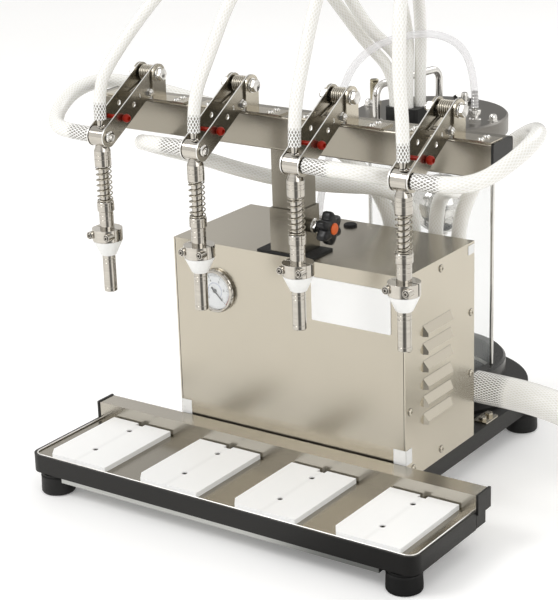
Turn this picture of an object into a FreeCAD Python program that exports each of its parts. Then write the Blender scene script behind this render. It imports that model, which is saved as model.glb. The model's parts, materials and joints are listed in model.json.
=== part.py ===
"""Bench-top vacuum filler for bottles, with four hinged filling spouts on a mast.

Frame: +X to the machine's right as its user sees it, +Y to the back, +Z up.
The origin is on the floor, below the middle of the machine. Sizes are in millimetres.
"""
import FreeCAD, Part
import math
import os
import re
import Sketcher

doc = FreeCAD.newDocument("LiquidFillingMachine")

# Driving sizes, kept in the sheet. Depths in front of or behind the mast are measured from its axis.
SIZES = {
    "mast_y": -100.0,
    "foot_height": 25.2, "foot_radius": 19.0, "front_foot_x": 24.4,
    "front_foot_depth": 163.0, "rear_foot_depth": 277.0,
    "bar_centre": 146.0, "bar_width": 22.0, "bar_height": 21.3, "bar_back": 300.0,
    "front_tube_width": 24.0, "rail_tube_width": 20.0, "cross_flat_width": 30.0,
    "tray_width": 524.8, "tray_front": 183.0, "tray_sheet": 1.2, "tray_lip": 2.7, "tray_corner": 14.0,
    "band_wall": 3.0, "band_height": 21.7, "support_height": 5.0, "support_inset": 1.6,
    "rail_depth": 26.2, "rail_height": 20.1, "rail_back": 26.3, "rail_wall": 1.5,
    "cap_thickness": 3.0, "cap_drop": 2.5,
    "rest_width": 87.0, "rest_front": 178.0, "rest_gap": 2.5, "rest_thickness": 6.0, "rest_offset": 2.0,
    "rest_chamfer_long": 12.0, "rest_chamfer_short": 8.0, "rest_notch_width": 10.0, "rest_notch_depth": 6.0,
    "rest_screw_front": 142.0, "rest_screw_back": 79.0, "rest_screw_radius": 3.2, "rest_margin": 21.8,
    "spout_pitch": 131.4, "spout_offset": 7.0,
    "housing_width": 314.0, "housing_front": 23.0, "housing_depth": 156.0, "housing_height": 241.5,
    "shell_wall": 1.5, "panel_flange": 16.0, "panel_screw_radius": 4.0, "panel_screw_height": 2.2,
    "louvre_length": 62.0, "louvre_height": 13.0, "louvre_pitch": 18.35, "louvre_count": 6,
    "louvre_stand": 5.5, "louvre_back": 77.0, "louvre_top": 179.0, "louvre_sheet": 0.9,
    "gauge_x": 60.0, "gauge_height": 185.5, "bezel_radius": 26.0, "bezel_depth": 7.0,
    "gauge_case_radius": 22.5, "gauge_case_depth": 24.0, "gauge_union": 12.0, "dial_depth": 2.6,
    "lens_thickness": 1.2, "glass_radius": 22.0,
    "pointer_length": 15.0, "pointer_tail": 6.0, "pointer_thickness": 0.5, "pointer_hub": 2.4,
    "pointer_pin": 0.9,
    "gasket_width": 74.0, "gasket_depth": 44.0, "gasket_height": 3.0,
    "grommet_x": 1.6, "grommet_depth": 113.0, "grommet_radius": 8.0, "grommet_height": 3.0,
    "hose_bush_x": -40.0, "hose_bush_depth": 110.0,
    "sleeve_width": 40.0, "sleeve_top": 51.0, "sleeve_drop": 130.0, "sleeve_flange": 2.0,
    "mast_width": 35.0, "mast_wall": 2.0, "mast_gap": 0.5, "mast_drop": 118.0, "beam_gap": 67.5,
    "beam_length": 520.0, "beam_depth": 42.0, "beam_height": 39.0, "beam_wall": 2.0, "beam_corner": 3.0,
    "cap_plug": 8.0,
    "knob_height": 31.0, "knob_stud_radius": 4.0, "knob_boss_radius": 8.0, "knob_boss_length": 6.0,
    "knob_radius": 15.0, "knob_lobe_radius": 5.5, "knob_lobe_circle": 14.0, "knob_thickness": 15.0,
    "knob_start": 18.0, "knob_neck_radius": 8.0, "knob_cap_radius": 8.0, "knob_cap_height": 2.5,
    "ear_gap": 24.4, "ear_thickness": 2.0, "ear_depth": 24.0, "pivot_front": 11.0, "pivot_height": 28.4,
    "foot_reach": 43.0, "screw_reach": 30.0, "screw_spacing": 12.4, "dome_radius": 3.6, "dome_height": 2.4,
    "pivot_radius": 4.0, "pivot_gap": 0.05, "pivot_head_across": 13.0, "pivot_head_height": 5.0,
    "pivot_washer_radius": 8.4, "pivot_washer": 1.4, "pivot_nut_height": 6.5, "pivot_thread": 4.2,
    "arm_length": 105.7, "arm_droop": 30.8, "arm_end_radius": 12.0, "arm_sheet": 1.5, "arm_spread": 23.4,
    "rod_along": 23.5, "rod_below": 7.2, "rod_radius": 3.0, "rod_lobe": 7.0, "rod_nut_radius": 4.0,
    "rod_nut_height": 3.4, "rod_end": 2.0,
    "pin_along": 74.3, "pin_radius": 2.5, "pin_head_radius": 4.4, "pin_head_length": 8.0,
    "coil_radius": 8.0, "coil_wire": 2.0, "coil_turns": 7, "leg_length": 32.0, "leg_end": 1.7,
    "hole_along": 52.0, "hole_radius": 3.0,
    "head_radius": 11.5, "head_gap": 0.2, "spigot_radius": 6.0, "spigot_length": 11.0,
    "hinge_screw_radius": 7.0, "hinge_screw_head": 3.5, "top_pipe_radius": 4.0, "top_pipe_length": 24.0,
    "bush_radius": 9.5, "bush_top": 8.0, "bush_bottom": 34.8, "inner_radius": 6.0, "inner_gap": 0.05,
    "stack_length": 182.8,
    "spring_length": 41.5, "spring_radius": 8.5, "spring_wire": 1.5, "spring_turns": 7, "spring_gap": 0.2,
    "nozzle_sleeve_radius": 9.75, "nozzle_sleeve_length": 10.8, "nozzle_tube_radius": 8.25,
    "collar_radius": 17.5, "collar_length": 20.6, "collar_top": 107.6, "collar_slit": 2.0,
    "collar_screw_radius": 2.6, "collar_screw_offset": 12.2, "cone_length": 11.0, "cone_tip_radius": 9.0,
    "lower_tube_radius": 7.5,
    "vessel_x": 25.0, "vessel_depth": 259.5, "plate_radius": 123.5, "plate_thickness": 4.0,
    "base_cup_radius": 95.0, "base_cup_height": 34.0, "base_cup_floor": 6.0, "vessel_radius": 80.0,
    "vessel_wall": 5.0, "vessel_gap": 0.3, "lid_radius": 95.2, "lid_thickness": 21.0, "lid_top": 345.5,
    "lid_groove": 4.0, "seal_thickness": 1.5, "tie_circle": 87.0, "tie_radius": 2.5, "dome_nut_radius": 5.5,
    "dome_nut_height": 9.0,
    "handle_radius": 4.5, "handle_height": 42.0, "handle_half": 61.0, "handle_bend": 14.0, "handle_turn": 8.2,
    "handle_x": -30.0, "block_x": -7.0, "block_depth": 40.5, "block_width": 44.0, "block_length": 34.0,
    "block_height": 17.0, "block_corner": 4.0,
    "barb_x": 70.0, "barb_depth": 14.0, "barb_radius": 5.0, "barb_height": 18.0, "barb_shoulder": 4.0,
    "relief_x": -87.0, "relief_radius": 5.5, "relief_height": 31.0, "relief_depth": 13.5,
    "wing_x": 26.0, "wing_depth": 40.0, "wing_stud_radius": 3.0, "wing_stud_height": 20.0,
    "wing_hub_radius": 6.0, "wing_hub_height": 8.0, "wing_span": 15.0, "wing_thickness": 3.0,
    "wing_gap": 0.05, "float_radius": 37.0, "float_height": 237.5, "float_stem_radius": 3.0,
    "float_gap": 0.08, "float_x": 16.0,
    "pump_length": 190.0, "pump_radius": 36.0, "pump_x": 52.0, "pump_depth": 80.0, "pump_axis": 60.0,
    "pump_head": 70.0, "pump_foot": 8.0,
    "inlet_x": 47.0, "inlet_width": 48.0, "inlet_height": 62.0, "inlet_low": 32.0, "inlet_stand": 6.0,
    "inlet_recess": 4.0, "socket_width": 28.0, "socket_height": 20.0, "switch_drop": 18.0,
    "switch_width": 12.0, "switch_length": 20.0, "switch_gap": 0.5, "switch_axis": 2.2,
    "switch_tilt": 6.0, "switch_rise": 2.5,
    "header_radius": 14.0, "header_depth": 152.0, "header_height": 193.5, "header_left": 20.0,
    "header_right": 140.0, "outlet_radius": 7.0, "outlet_height": 30.0, "outlet_pitch": 30.0,
    "outlet_first": 35.0, "downcomer_x": 125.0, "inlet_axis": 54.5,
    "inlet_barb_radius": 15.0, "inlet_barb_end": 150.0,
    "strap_front": 168.0, "strap_length": 30.0, "strap_sheet": 2.0, "strap_nut_radius": 4.5,
    "strap_nut_height": 4.0, "strap_corner": 3.0,
    "big_hose_radius": 19.0, "feed_hose_radius": 8.75, "return_hose_radius": 7.0, "clear_hose_radius": 4.5,
    "feed_lead": 30.0, "outlet_lead": 28.0, "pipe_lead": 30.0, "port_lead": 40.0, "bush_lead": 20.0,
    "barb_lead": 34.0, "inlet_lead": 38.0, "coil_lead": 22.0,
    "coil_loop_radius": 196.0, "coil_turn": 300.0, "coil_loop_x": 500.0, "fitting_length": 70.0,
    "fitting_radius": 17.0, "fitting_ferrule": 40.0, "fitting_collar": 12.0,
}

sheet = doc.addObject("Spreadsheet::Sheet", "Sizes")
for row, (alias, value) in enumerate(SIZES.items(), start=1):
    sheet.set("A%d" % row, alias)
    sheet.set("B%d" % row, str(value))
    sheet.setAlias("B%d" % row, alias)
doc.recompute()

ALIASES = re.compile(r"\b(%s)\b" % "|".join(sorted(SIZES, key=len, reverse=True)))
NOTHING = 0

# Formulas that several sub-parts share.
BAR_TOP = "(foot_height + bar_height)"
TRAY_TOP = "(%s + tray_sheet)" % BAR_TOP
LIP_TOP = "(%s + tray_lip)" % BAR_TOP
HOUSING_TOP = "(%s + housing_height)" % BAR_TOP
HOUSING_BACK = "(mast_y - housing_front + housing_depth)"
SLEEVE_BASE = "(%s + gasket_height)" % HOUSING_TOP
BEAM_BASE = "(%s + sleeve_top + beam_gap)" % SLEEVE_BASE
BEAM_TOP = "(%s + beam_height)" % BEAM_BASE
PIVOT_Y = "(mast_y - pivot_front)"
PIVOT_Z = "(%s + pivot_height)" % BEAM_TOP
HEAD_Y = "(%s - arm_length * cos(arm_droop))" % PIVOT_Y
HEAD_Z = "(%s - arm_length * sin(arm_droop))" % PIVOT_Z
VESSEL_Y = "(mast_y + vessel_depth)"
PLATE_TOP = "(%s + plate_thickness)" % BAR_TOP
LID_TOP = "(%s + lid_top)" % PLATE_TOP
LID_BASE = "(%s - lid_thickness)" % LID_TOP
CUP_FLOOR = "(%s + base_cup_floor)" % PLATE_TOP
FLOAT_Z = "(%s + float_height)" % BAR_TOP
FRONT_FOOT_X = "(tray_width / 2 - front_foot_x)"
GAUGE_X = "(gauge_x - housing_width / 2)"
INLET_X = "(inlet_x - housing_width / 2)"
PUMP_X = "(pump_x - housing_width / 2)"
REST_PITCH = "((tray_width - rest_width - 2 * rest_margin) / 3)"
COIL_Y = "(mast_y + header_depth + coil_loop_radius)"
STATIONS = ["(spout_offset + %s * spout_pitch)" % step for step in (-1.5, -0.5, 0.5, 1.5)]

ROTATIONS = {
    "z": FreeCAD.Rotation(),
    "x": FreeCAD.Rotation(FreeCAD.Vector(0, 1, 0), 90),
    "y": FreeCAD.Rotation(FreeCAD.Vector(1, 0, 0), -90),
}
PLANES = {"z": "XY_Plane", "y": "XZ_Plane", "x": "YZ_Plane"}
parts = []


def formula(text):
    """Write a formula of size names as the sheet knows them."""
    return ALIASES.sub(r"Sizes.\g<0>", str(text))


def bind(item, target, text):
    item.setExpression(target, formula(text))


def number(text):
    """The present value of a formula."""
    found = sheet.evalExpression(formula(text))
    return float(getattr(found, "Value", found))


def vector(x, y, z):
    return FreeCAD.Vector(number(x), number(y), number(z))


def place(item, x, y, z):
    for letter, text in zip("xyz", (x, y, z)):
        bind(item, "Placement.Base." + letter, text)
    return item


def block(x, y, z):
    """A box between pairs of low and high coordinates."""
    item = doc.addObject("Part::Box", "Block")
    for side, (low, high) in zip(("Length", "Width", "Height"), (x, y, z)):
        bind(item, side, "(%s) - (%s)" % (high, low))
    return place(item, x[0], y[0], z[0])


def along(item, axis, centre, low):
    """Set an upright round solid along an axis, through centre, from low."""
    item.Placement = FreeCAD.Placement(FreeCAD.Vector(), ROTATIONS[axis])
    coordinates = list(centre)
    coordinates.insert("xyz".index(axis), low)
    return place(item, *coordinates)


def rod(axis, centre, radius, low, high):
    item = doc.addObject("Part::Cylinder", "Rod")
    bind(item, "Radius", radius)
    bind(item, "Height", "(%s) - (%s)" % (high, low))
    return along(item, axis, centre, low)


def taper(axis, centre, first, second, low, high):
    item = doc.addObject("Part::Cone", "Taper")
    bind(item, "Radius1", first)
    bind(item, "Radius2", second)
    bind(item, "Height", "(%s) - (%s)" % (high, low))
    return along(item, axis, centre, low)


def hexagon(axis, centre, across, low, high):
    item = doc.addObject("Part::Prism", "Hexagon")
    item.Polygon = 6
    bind(item, "Circumradius", "(%s) / 2 / cos(30)" % across)
    bind(item, "Height", "(%s) - (%s)" % (high, low))
    return along(item, axis, centre, low)


def fuse(*items):
    item = doc.addObject("Part::MultiFuse", "Fuse")
    item.Shapes = list(items)
    return item


def cut(base, *tools):
    item = doc.addObject("Part::Cut", "Cut")
    item.Base = base
    item.Tool = tools[0] if len(tools) == 1 else group(*tools)
    return item


def group(*items):
    item = doc.addObject("Part::Compound", "Group")
    item.Links = list(items)
    return item


def pipe(axis, centre, radius, bore, low, high):
    return cut(rod(axis, centre, radius, low, high), rod(axis, centre, bore, low, high))


def outline(body, axis, points, offset=NOTHING):
    """A closed sketch of straight lines through points, square to an axis of the body's origin."""
    plane = [item for item in body.Origin.OriginFeatures if item.Role == PLANES[axis]][0]
    sketch = body.newObject("Sketcher::SketchObject", "Outline")
    sketch.AttachmentSupport = [(plane, "")]
    sketch.MapMode = "FlatFace"
    bind(sketch, "AttachmentOffset.Base.z", offset)
    corners = [FreeCAD.Vector(number(u), number(v), 0) for u, v in points]
    count = len(points)
    for index, corner in enumerate(corners):
        sketch.addGeometry(Part.LineSegment(corner, corners[(index + 1) % count]), False)
    for index in range(count):
        sketch.addConstraint(Sketcher.Constraint("Coincident", index, 2, (index + 1) % count, 1))
    for index, (point, corner) in enumerate(zip(points, corners)):
        for kind, text, value in zip(("DistanceX", "DistanceY"), point, corner):
            name = sketch.addConstraint(Sketcher.Constraint(kind, -1, 1, index, 1, value))
            bind(sketch, "Constraints[%d]" % name, text)
    return sketch


def prism(axis, points, low, high, rounds=(), radius=NOTHING):
    """A body padded from an outline along an axis, with some of its corners rounded.

    The sketch's own axes are (y, z) for axis x, (x, z) for axis y and (x, y) for axis z.
    """
    body = doc.addObject("PartDesign::Body", "Prism")
    backwards = axis == "y"
    sketch = outline(body, axis, points, "-(%s)" % high if backwards else low)
    pad = body.newObject("PartDesign::Pad", "Pad")
    pad.Profile = sketch
    bind(pad, "Length", "(%s) - (%s)" % (high, low))
    if rounds:
        doc.recompute()
        corners = [(number(points[index][0]), number(points[index][1])) for index in rounds]
        names = []
        for index, edge in enumerate(pad.Shape.Edges, start=1):
            start, end = edge.Vertexes[0].Point, edge.Vertexes[-1].Point
            first, last = ([value for letter, value in zip("xyz", point) if letter != axis]
                           for point in (start, end))
            if math.dist(first, last) < 1e-6 and any(math.dist(first, corner) < 1e-6 for corner in corners):
                names.append("Edge%d" % index)
        rounding = body.newObject("PartDesign::Fillet", "Rounding")
        rounding.Base = (pad, names)
        bind(rounding, "Radius", radius)
    return body


def turned(axis, points, centre=(NOTHING, NOTHING)):
    """A body revolved about an axis, from an outline of (radius, distance along the axis) points."""
    body = doc.addObject("PartDesign::Body", "Turned")
    sketch = outline(body, "y", points)
    revolution = body.newObject("PartDesign::Revolution", "Revolution")
    revolution.Profile = sketch
    revolution.ReferenceAxis = (sketch, ["V_Axis"])
    revolution.Angle = 360
    return along(body, axis, centre, NOTHING)


def hose(points, radius):
    """A plain round hose through chosen points: straight runs joined by tangent arcs."""
    arcs = []
    for before, corner, after in zip(points, points[1:], points[2:]):
        run_in, run_out = corner - before, after - corner
        half = run_in.getAngle(run_out) / 2
        reach = 0.45 * min(run_in.Length, run_out.Length)
        toward, away = FreeCAD.Vector(run_in).normalize(), FreeCAD.Vector(run_out).normalize()
        bend = reach / math.tan(half)
        start, end = corner - toward * reach, corner + away * reach
        inward = (away - toward).normalize()
        middle = corner + inward * (bend / math.cos(half) - bend)
        arcs.append((start, middle, end, bend))
    edges = []
    place_now = points[0]
    for start, middle, end, bend in arcs:
        edges.append(Part.LineSegment(place_now, start).toShape())
        edges.append(Part.Arc(start, middle, end).toShape())
        place_now = end
    edges.append(Part.LineSegment(place_now, points[-1]).toShape())
    path = Part.Wire(edges)
    section = Part.Wire(Part.makeCircle(radius, points[0], points[1] - points[0]))
    tube = path.makePipeShell([section], True, True)
    ratio = tube.Volume / (math.pi * radius ** 2 * path.Length)
    print("hose of radius %.1f: length %.0f, tightest bend %.0f, volume ratio %.3f"
          % (radius, path.Length, min(arc[3] for arc in arcs), ratio))
    return tube


def coil(radius, wire, turns, low, length):
    """A compression spring's helix as a chain of straight wires with a square section."""
    steps = 12
    count = int(turns * steps)
    rise = (length - wire) / count
    points = []
    for index in range(count + 1):
        angle = 2 * math.pi * index / steps
        points.append(FreeCAD.Vector(radius * math.cos(angle), radius * math.sin(angle),
                                     low + wire / 2 + rise * index))
    path = Part.makePolygon(points)
    half = wire / 2
    section = Part.makePolygon([points[0] + FreeCAD.Vector(u, 0, v)
                                for u, v in ((-half, -half), (half, -half), (half, half), (-half, half),
                                             (-half, -half))])
    return path.makePipeShell([section], True, True, 1)


def solid(shape, name="Shape"):
    """An object for a shape made with Part's own functions."""
    item = doc.addObject("Part::Feature", name)
    item.Shape = shape
    return item


def keep(label, *items):
    """Name a sub-part. Several solids are held together as a group."""
    item = items[0] if len(items) == 1 else group(*items)
    item.Label = label
    parts.append(item)
    return item


def centred(middle, width):
    return ("(%s) - (%s) / 2" % (middle, width), "(%s) + (%s) / 2" % (middle, width))


def behind(depth):
    return "(mast_y + (%s))" % depth


# Base frame and feet
def base_frame():
    pieces = []
    front = behind("-tray_front + band_wall")
    for side in ("bar_centre", "-bar_centre"):
        pieces.append(block(centred(side, "bar_width"), (front, behind("bar_back")),
                            ("foot_height", BAR_TOP)))
    half = "(tray_width / 2 - band_wall)"
    across = ("-" + half, half)
    short = ("-tray_width / 2 + tray_corner", "tray_width / 2 - tray_corner")
    pieces.append(block(short, (front, front + " + front_tube_width"), ("foot_height", BAR_TOP)))
    pieces.append(block(across, (behind("-rail_back - rail_tube_width"), behind("-rail_back")),
                        ("foot_height", BAR_TOP)))
    for depth in ("vessel_depth - plate_radius / 2", "rear_foot_depth"):
        pieces.append(block(("-bar_centre", "bar_centre"), centred(behind(depth), "cross_flat_width"),
                            ("foot_height", BAR_TOP)))
    keep("base_frame", fuse(*pieces))


def rubber_feet():
    feet = []
    for x, depth in ((FRONT_FOOT_X, "-front_foot_depth"), ("-" + FRONT_FOOT_X, "-front_foot_depth"),
                     ("bar_centre", "rear_foot_depth"), ("-bar_centre", "rear_foot_depth")):
        foot = turned("z", [(NOTHING, NOTHING), ("foot_radius - 2", NOTHING), ("foot_radius", "2"),
                            ("foot_radius", "foot_height - 3"), ("foot_radius - 2", "foot_height"),
                            (NOTHING, "foot_height")], (x, behind(depth)))
        feet.append(foot)
    keep("rubber_feet", *feet)


# Drip tray
def tray_plan(inset, back):
    """The tray's outline in plan: two front corners first, then the two at the back."""
    half = "(tray_width / 2 - (%s))" % inset
    front = behind("-tray_front + (%s)" % inset)
    return [("-" + half, front), (half, front), (half, back), ("-" + half, back)]


def drip_tray():
    back = behind("-rail_back")
    pan = prism("z", tray_plan("band_wall", back), BAR_TOP, LIP_TOP, (0, 1), "tray_corner - band_wall")
    inside = prism("z", tray_plan("band_wall + tray_sheet", back + " + rail_depth"), TRAY_TOP,
                   LIP_TOP + " + tray_lip", (0, 1), "tray_corner - band_wall - tray_sheet")
    rail_seat = block(("-tray_width / 2", "tray_width / 2"),
                      (behind("-rail_back - rail_depth"), back + " + 1"), (TRAY_TOP, LIP_TOP + " + tray_lip"))
    keep("drip_tray", cut(pan, inside, rail_seat))
    band = prism("z", tray_plan(NOTHING, behind("-rail_back - rail_depth")), LIP_TOP + " - band_height",
                 LIP_TOP, (0, 1), "tray_corner")
    hollow = prism("z", tray_plan("band_wall", back), LIP_TOP + " - 2 * band_height",
                   LIP_TOP + " + band_wall", (0, 1), "tray_corner - band_wall")
    caps = []
    for sign in ("-", ""):
        edge, outer = sign + "(tray_width / 2)", sign + "(tray_width / 2 + cap_thickness)"
        x = (outer, edge) if sign else (edge, outer)
        caps.append(block(x, (behind("-rail_back - rail_depth - 1"), behind("-rail_back + 1")),
                          (TRAY_TOP + " - cap_drop", TRAY_TOP + " + rail_height + 1")))
    keep("tray_trim", cut(band, hollow), *caps)
    reach = "(%s - foot_radius - support_inset)" % FRONT_FOOT_X
    keep("tray_support", block(("-" + reach, reach),
                               (behind("-tray_front + band_wall"),
                                behind("-tray_front + band_wall + front_tube_width")),
                               ("foot_height - support_height", "foot_height")))
    y = (behind("-rail_back - rail_depth"), behind("-rail_back"))
    z = (TRAY_TOP, TRAY_TOP + " + rail_height")
    keep("tray_rail", cut(block(("-tray_width / 2", "tray_width / 2"), y, z),
                          block(("-tray_width / 2 - 1", "tray_width / 2 + 1"),
                                (y[0] + " + rail_wall", y[1] + " - rail_wall"),
                                (z[0] + " + rail_wall", z[1] + " - rail_wall"))))


def bottle_rests():
    rests, screws = [], []
    front, back = behind("-rest_front"), behind("-rail_back - rail_depth - rest_gap")
    top = TRAY_TOP + " + rest_thickness"
    for step in (-1.5, -0.5, 0.5, 1.5):
        x = "(rest_offset + %s * %s)" % (step, REST_PITCH)
        left, right = x + " - rest_width / 2", x + " + rest_width / 2"
        slot = "rest_notch_width / 2"
        rest = prism("z", [(left + " + rest_chamfer_short", front), (right, front), (right, back),
                           (x + " + " + slot, back), (x + " + " + slot, back + " - rest_notch_depth"),
                           (x + " - " + slot, back + " - rest_notch_depth"), (x + " - " + slot, back),
                           (left, back), (left, front + " + rest_chamfer_long")], TRAY_TOP, top)
        holes = []
        for depth in ("rest_screw_front", "rest_screw_back"):
            centre = (x, behind("-" + depth))
            holes.append(rod("z", centre, "rest_screw_radius + 0.3", TRAY_TOP + " + rest_thickness / 3",
                             top + " + 1"))
            screws.append(rod("z", centre, "rest_screw_radius", TRAY_TOP + " + rest_thickness / 3",
                              top + " - 1"))
        rests.append(cut(rest, *holes))
    keep("bottle_rests", *rests)
    return screws


# Housing
PANEL_SCREWS = [(16.0, 11.5), (79.0, 11.5), (10.0, 81.7), (148.0, 81.7), (10.0, 157.0), (148.0, 157.0),
                (79.0, 230.0)]


def housing():
    outer = "(housing_width / 2)"
    inner = "(housing_width / 2 - shell_wall)"
    front, back = behind("-housing_front"), HOUSING_BACK
    body = block(("-" + inner, inner), (front, back), (BAR_TOP, HOUSING_TOP))
    room = block(("-%s + shell_wall" % inner, inner + " - shell_wall"),
                 (front + " + shell_wall", back + " - shell_wall"),
                 (BAR_TOP + " + shell_wall", HOUSING_TOP + " - shell_wall"))
    window = block(("-" + outer, outer), (front + " + panel_flange", back + " - panel_flange"),
                   (BAR_TOP + " + panel_flange", HOUSING_TOP + " - panel_flange"))
    mast_hole = block(centred(NOTHING, "sleeve_width + mast_gap"),
                      centred("mast_y", "sleeve_width + mast_gap"),
                      (HOUSING_TOP + " - 3 * shell_wall", HOUSING_TOP + " + 1"))
    gauge_hole = rod("y", (GAUGE_X, BAR_TOP + " + gauge_height"), "gauge_case_radius + mast_gap",
                     front + " - 1", front + " + 3 * shell_wall")
    keep("housing_shell", cut(body, room, window, mast_hole, gauge_hole))
    panels, screws = [], []
    for sign in ("", "-"):
        x = (inner, outer) if not sign else ("-" + outer, "-" + inner)
        plate = block(x, (front, back), (BAR_TOP, HOUSING_TOP))
        hoods, slots = [], []
        for index in range(SIZES["louvre_count"]):
            foot = "(%s + louvre_top - louvre_height - %d * louvre_pitch)" % (BAR_TOP, index)
            y = (behind("louvre_back - louvre_length"), behind("louvre_back"))
            hood = louvre(sign, outer, foot, y, NOTHING)
            hollow = louvre(sign, outer, foot, (y[0] + " + louvre_sheet", y[1] + " - louvre_sheet"),
                            "louvre_sheet")
            hoods.append(hood)
            slots.append(hollow)
        panels.append(cut(fuse(plate, *hoods), *slots))
        for depth, height in PANEL_SCREWS:
            low = outer if not sign else "-%s - panel_screw_height" % outer
            high = "%s + panel_screw_height" % outer if not sign else "-" + outer
            radii = ("panel_screw_radius", "panel_screw_radius - 1.4")
            first, second = radii if not sign else radii[::-1]
            screws.append(taper("x", ("%s + %s" % (front, depth), "%s + %s" % (BAR_TOP, height)),
                                first, second, low, high))
    keep("side_panels", *panels)
    return screws


def louvre(sign, wall, foot, y, inset):
    """A pressed hood that opens downwards, or its hollow when it is inset."""
    root = "(%s - 2 * shell_wall)" % wall if inset else "(%s - shell_wall / 2)" % wall
    lip = "(%s + louvre_stand - (%s))" % (wall, inset)
    top = "(%s + louvre_height - 1.6 * (%s))" % (foot, inset)
    base = "(%s - (%s))" % (foot, inset)
    return prism("y", [(sign + root, base), (sign + lip, base), (sign + lip, "%s + louvre_height / 3" % foot),
                       (sign + root, top)], y[0], y[1])


def vacuum_gauge():
    centre = (GAUGE_X, BAR_TOP + " + gauge_height")
    front = behind("-housing_front")
    face, back = front + " - bezel_depth", front + " + gauge_case_depth"
    case = rod("y", centre, "gauge_case_radius", front + " - bezel_depth / 2", back)
    bezel = rod("y", centre, "bezel_radius", face, front)
    well = rod("y", centre, "glass_radius", face + " - 1", face + " + dial_depth + 1")
    stem = rod("y", centre, "pointer_pin", face + " + 1.4", front)
    rear = rod("y", centre, "gauge_case_radius / 3", back, back + " + gauge_union")
    keep("vacuum_gauge", fuse(cut(fuse(case, bezel), well), stem, rear))
    keep("gauge_lens", rod("y", centre, "glass_radius", face, face + " + lens_thickness"))
    low = face + " + 2.2"
    hub = rod("y", centre, "pointer_hub", low, low + " + pointer_thickness + 0.4")
    x, z = centre
    hand = prism("y", [("-pointer_tail", "-1.1"), ("pointer_length", "-0.4"), ("pointer_length", "0.4"),
                       ("-pointer_tail", "1.1")], NOTHING, "pointer_thickness")
    hand.Placement = FreeCAD.Placement(FreeCAD.Vector(), FreeCAD.Rotation(FreeCAD.Vector(0, 1, 0), 45))
    place(hand, x, low, z)
    bore = rod("y", centre, "pointer_pin + 0.05", low + " - 1", low + " + 3")
    keep("gauge_pointer", cut(fuse(hub, hand), bore))


def column():
    sleeve_half = "(sleeve_width / 2)"
    z = (HOUSING_TOP, SLEEVE_BASE)
    gasket = cut(block(("-gasket_width / 2 - 1", "gasket_width / 2 - 1"),
                       centred("mast_y", "gasket_depth"), z),
                 block(centred(NOTHING, "sleeve_width + mast_gap"),
                       centred("mast_y", "sleeve_width + mast_gap"), (z[0] + " - 1", z[1] + " + 1")))
    grommets = []
    for x, depth, radius in (("grommet_x", "grommet_depth", "grommet_radius"),
                             ("hose_bush_x", "hose_bush_depth", "grommet_radius - 1")):
        grommets.append(turned("z", [(NOTHING, HOUSING_TOP), (radius, HOUSING_TOP),
                                     (radius, HOUSING_TOP + " + grommet_height - 1"),
                                     (radius + " - 1", HOUSING_TOP + " + grommet_height"),
                                     (NOTHING, HOUSING_TOP + " + grommet_height")], (x, behind(depth))))
    keep("housing_gaskets", gasket, *grommets)
    low, high = HOUSING_TOP + " - sleeve_drop", SLEEVE_BASE + " + sleeve_top"
    bore = "mast_width + 2 * mast_gap"
    tube = block(centred(NOTHING, "sleeve_width"), centred("mast_y", "sleeve_width"), (low, high))
    flange = block(centred(NOTHING, "gasket_width"), centred("mast_y", "sleeve_width"),
                   (HOUSING_TOP + " - shell_wall - sleeve_flange", HOUSING_TOP + " - shell_wall"))
    knob_centre = ("mast_y", SLEEVE_BASE + " + knob_height")
    boss = rod("x", knob_centre, "knob_boss_radius", sleeve_half, sleeve_half + " + knob_boss_length")
    hollow = block(centred(NOTHING, bore), centred("mast_y", bore), (low + " - 1", high + " + 1"))
    thread = rod("x", knob_centre, "knob_stud_radius + pivot_gap", NOTHING, "3 * sleeve_width")
    keep("column_sleeve", cut(fuse(tube, flange, boss), hollow, thread))


def clamp_knob():
    centre = ("mast_y", SLEEVE_BASE + " + knob_height")
    start = "(sleeve_width / 2 + knob_boss_length + knob_start - 6)"
    stud = rod("x", centre, "knob_stud_radius", "mast_width / 2 + 0.3", start)
    neck = rod("x", centre, "knob_neck_radius", start + " - 5", start)
    disc = rod("x", centre, "knob_radius - 2", start, start + " + knob_thickness")
    lobes = []
    for index in range(6):
        angle = "%d" % (60 * index + 30)
        lobes.append(rod("x", ("mast_y + knob_lobe_circle * cos(%s)" % angle,
                               centre[1] + " + knob_lobe_circle * sin(%s)" % angle),
                         "knob_lobe_radius", start + " + 1.5", start + " + knob_thickness - 1.5"))
    cap = rod("x", centre, "knob_cap_radius", start + " + knob_thickness",
              start + " + knob_thickness + knob_cap_height")
    keep("clamp_knob", fuse(stud, neck, disc, *lobes), cap)


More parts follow.
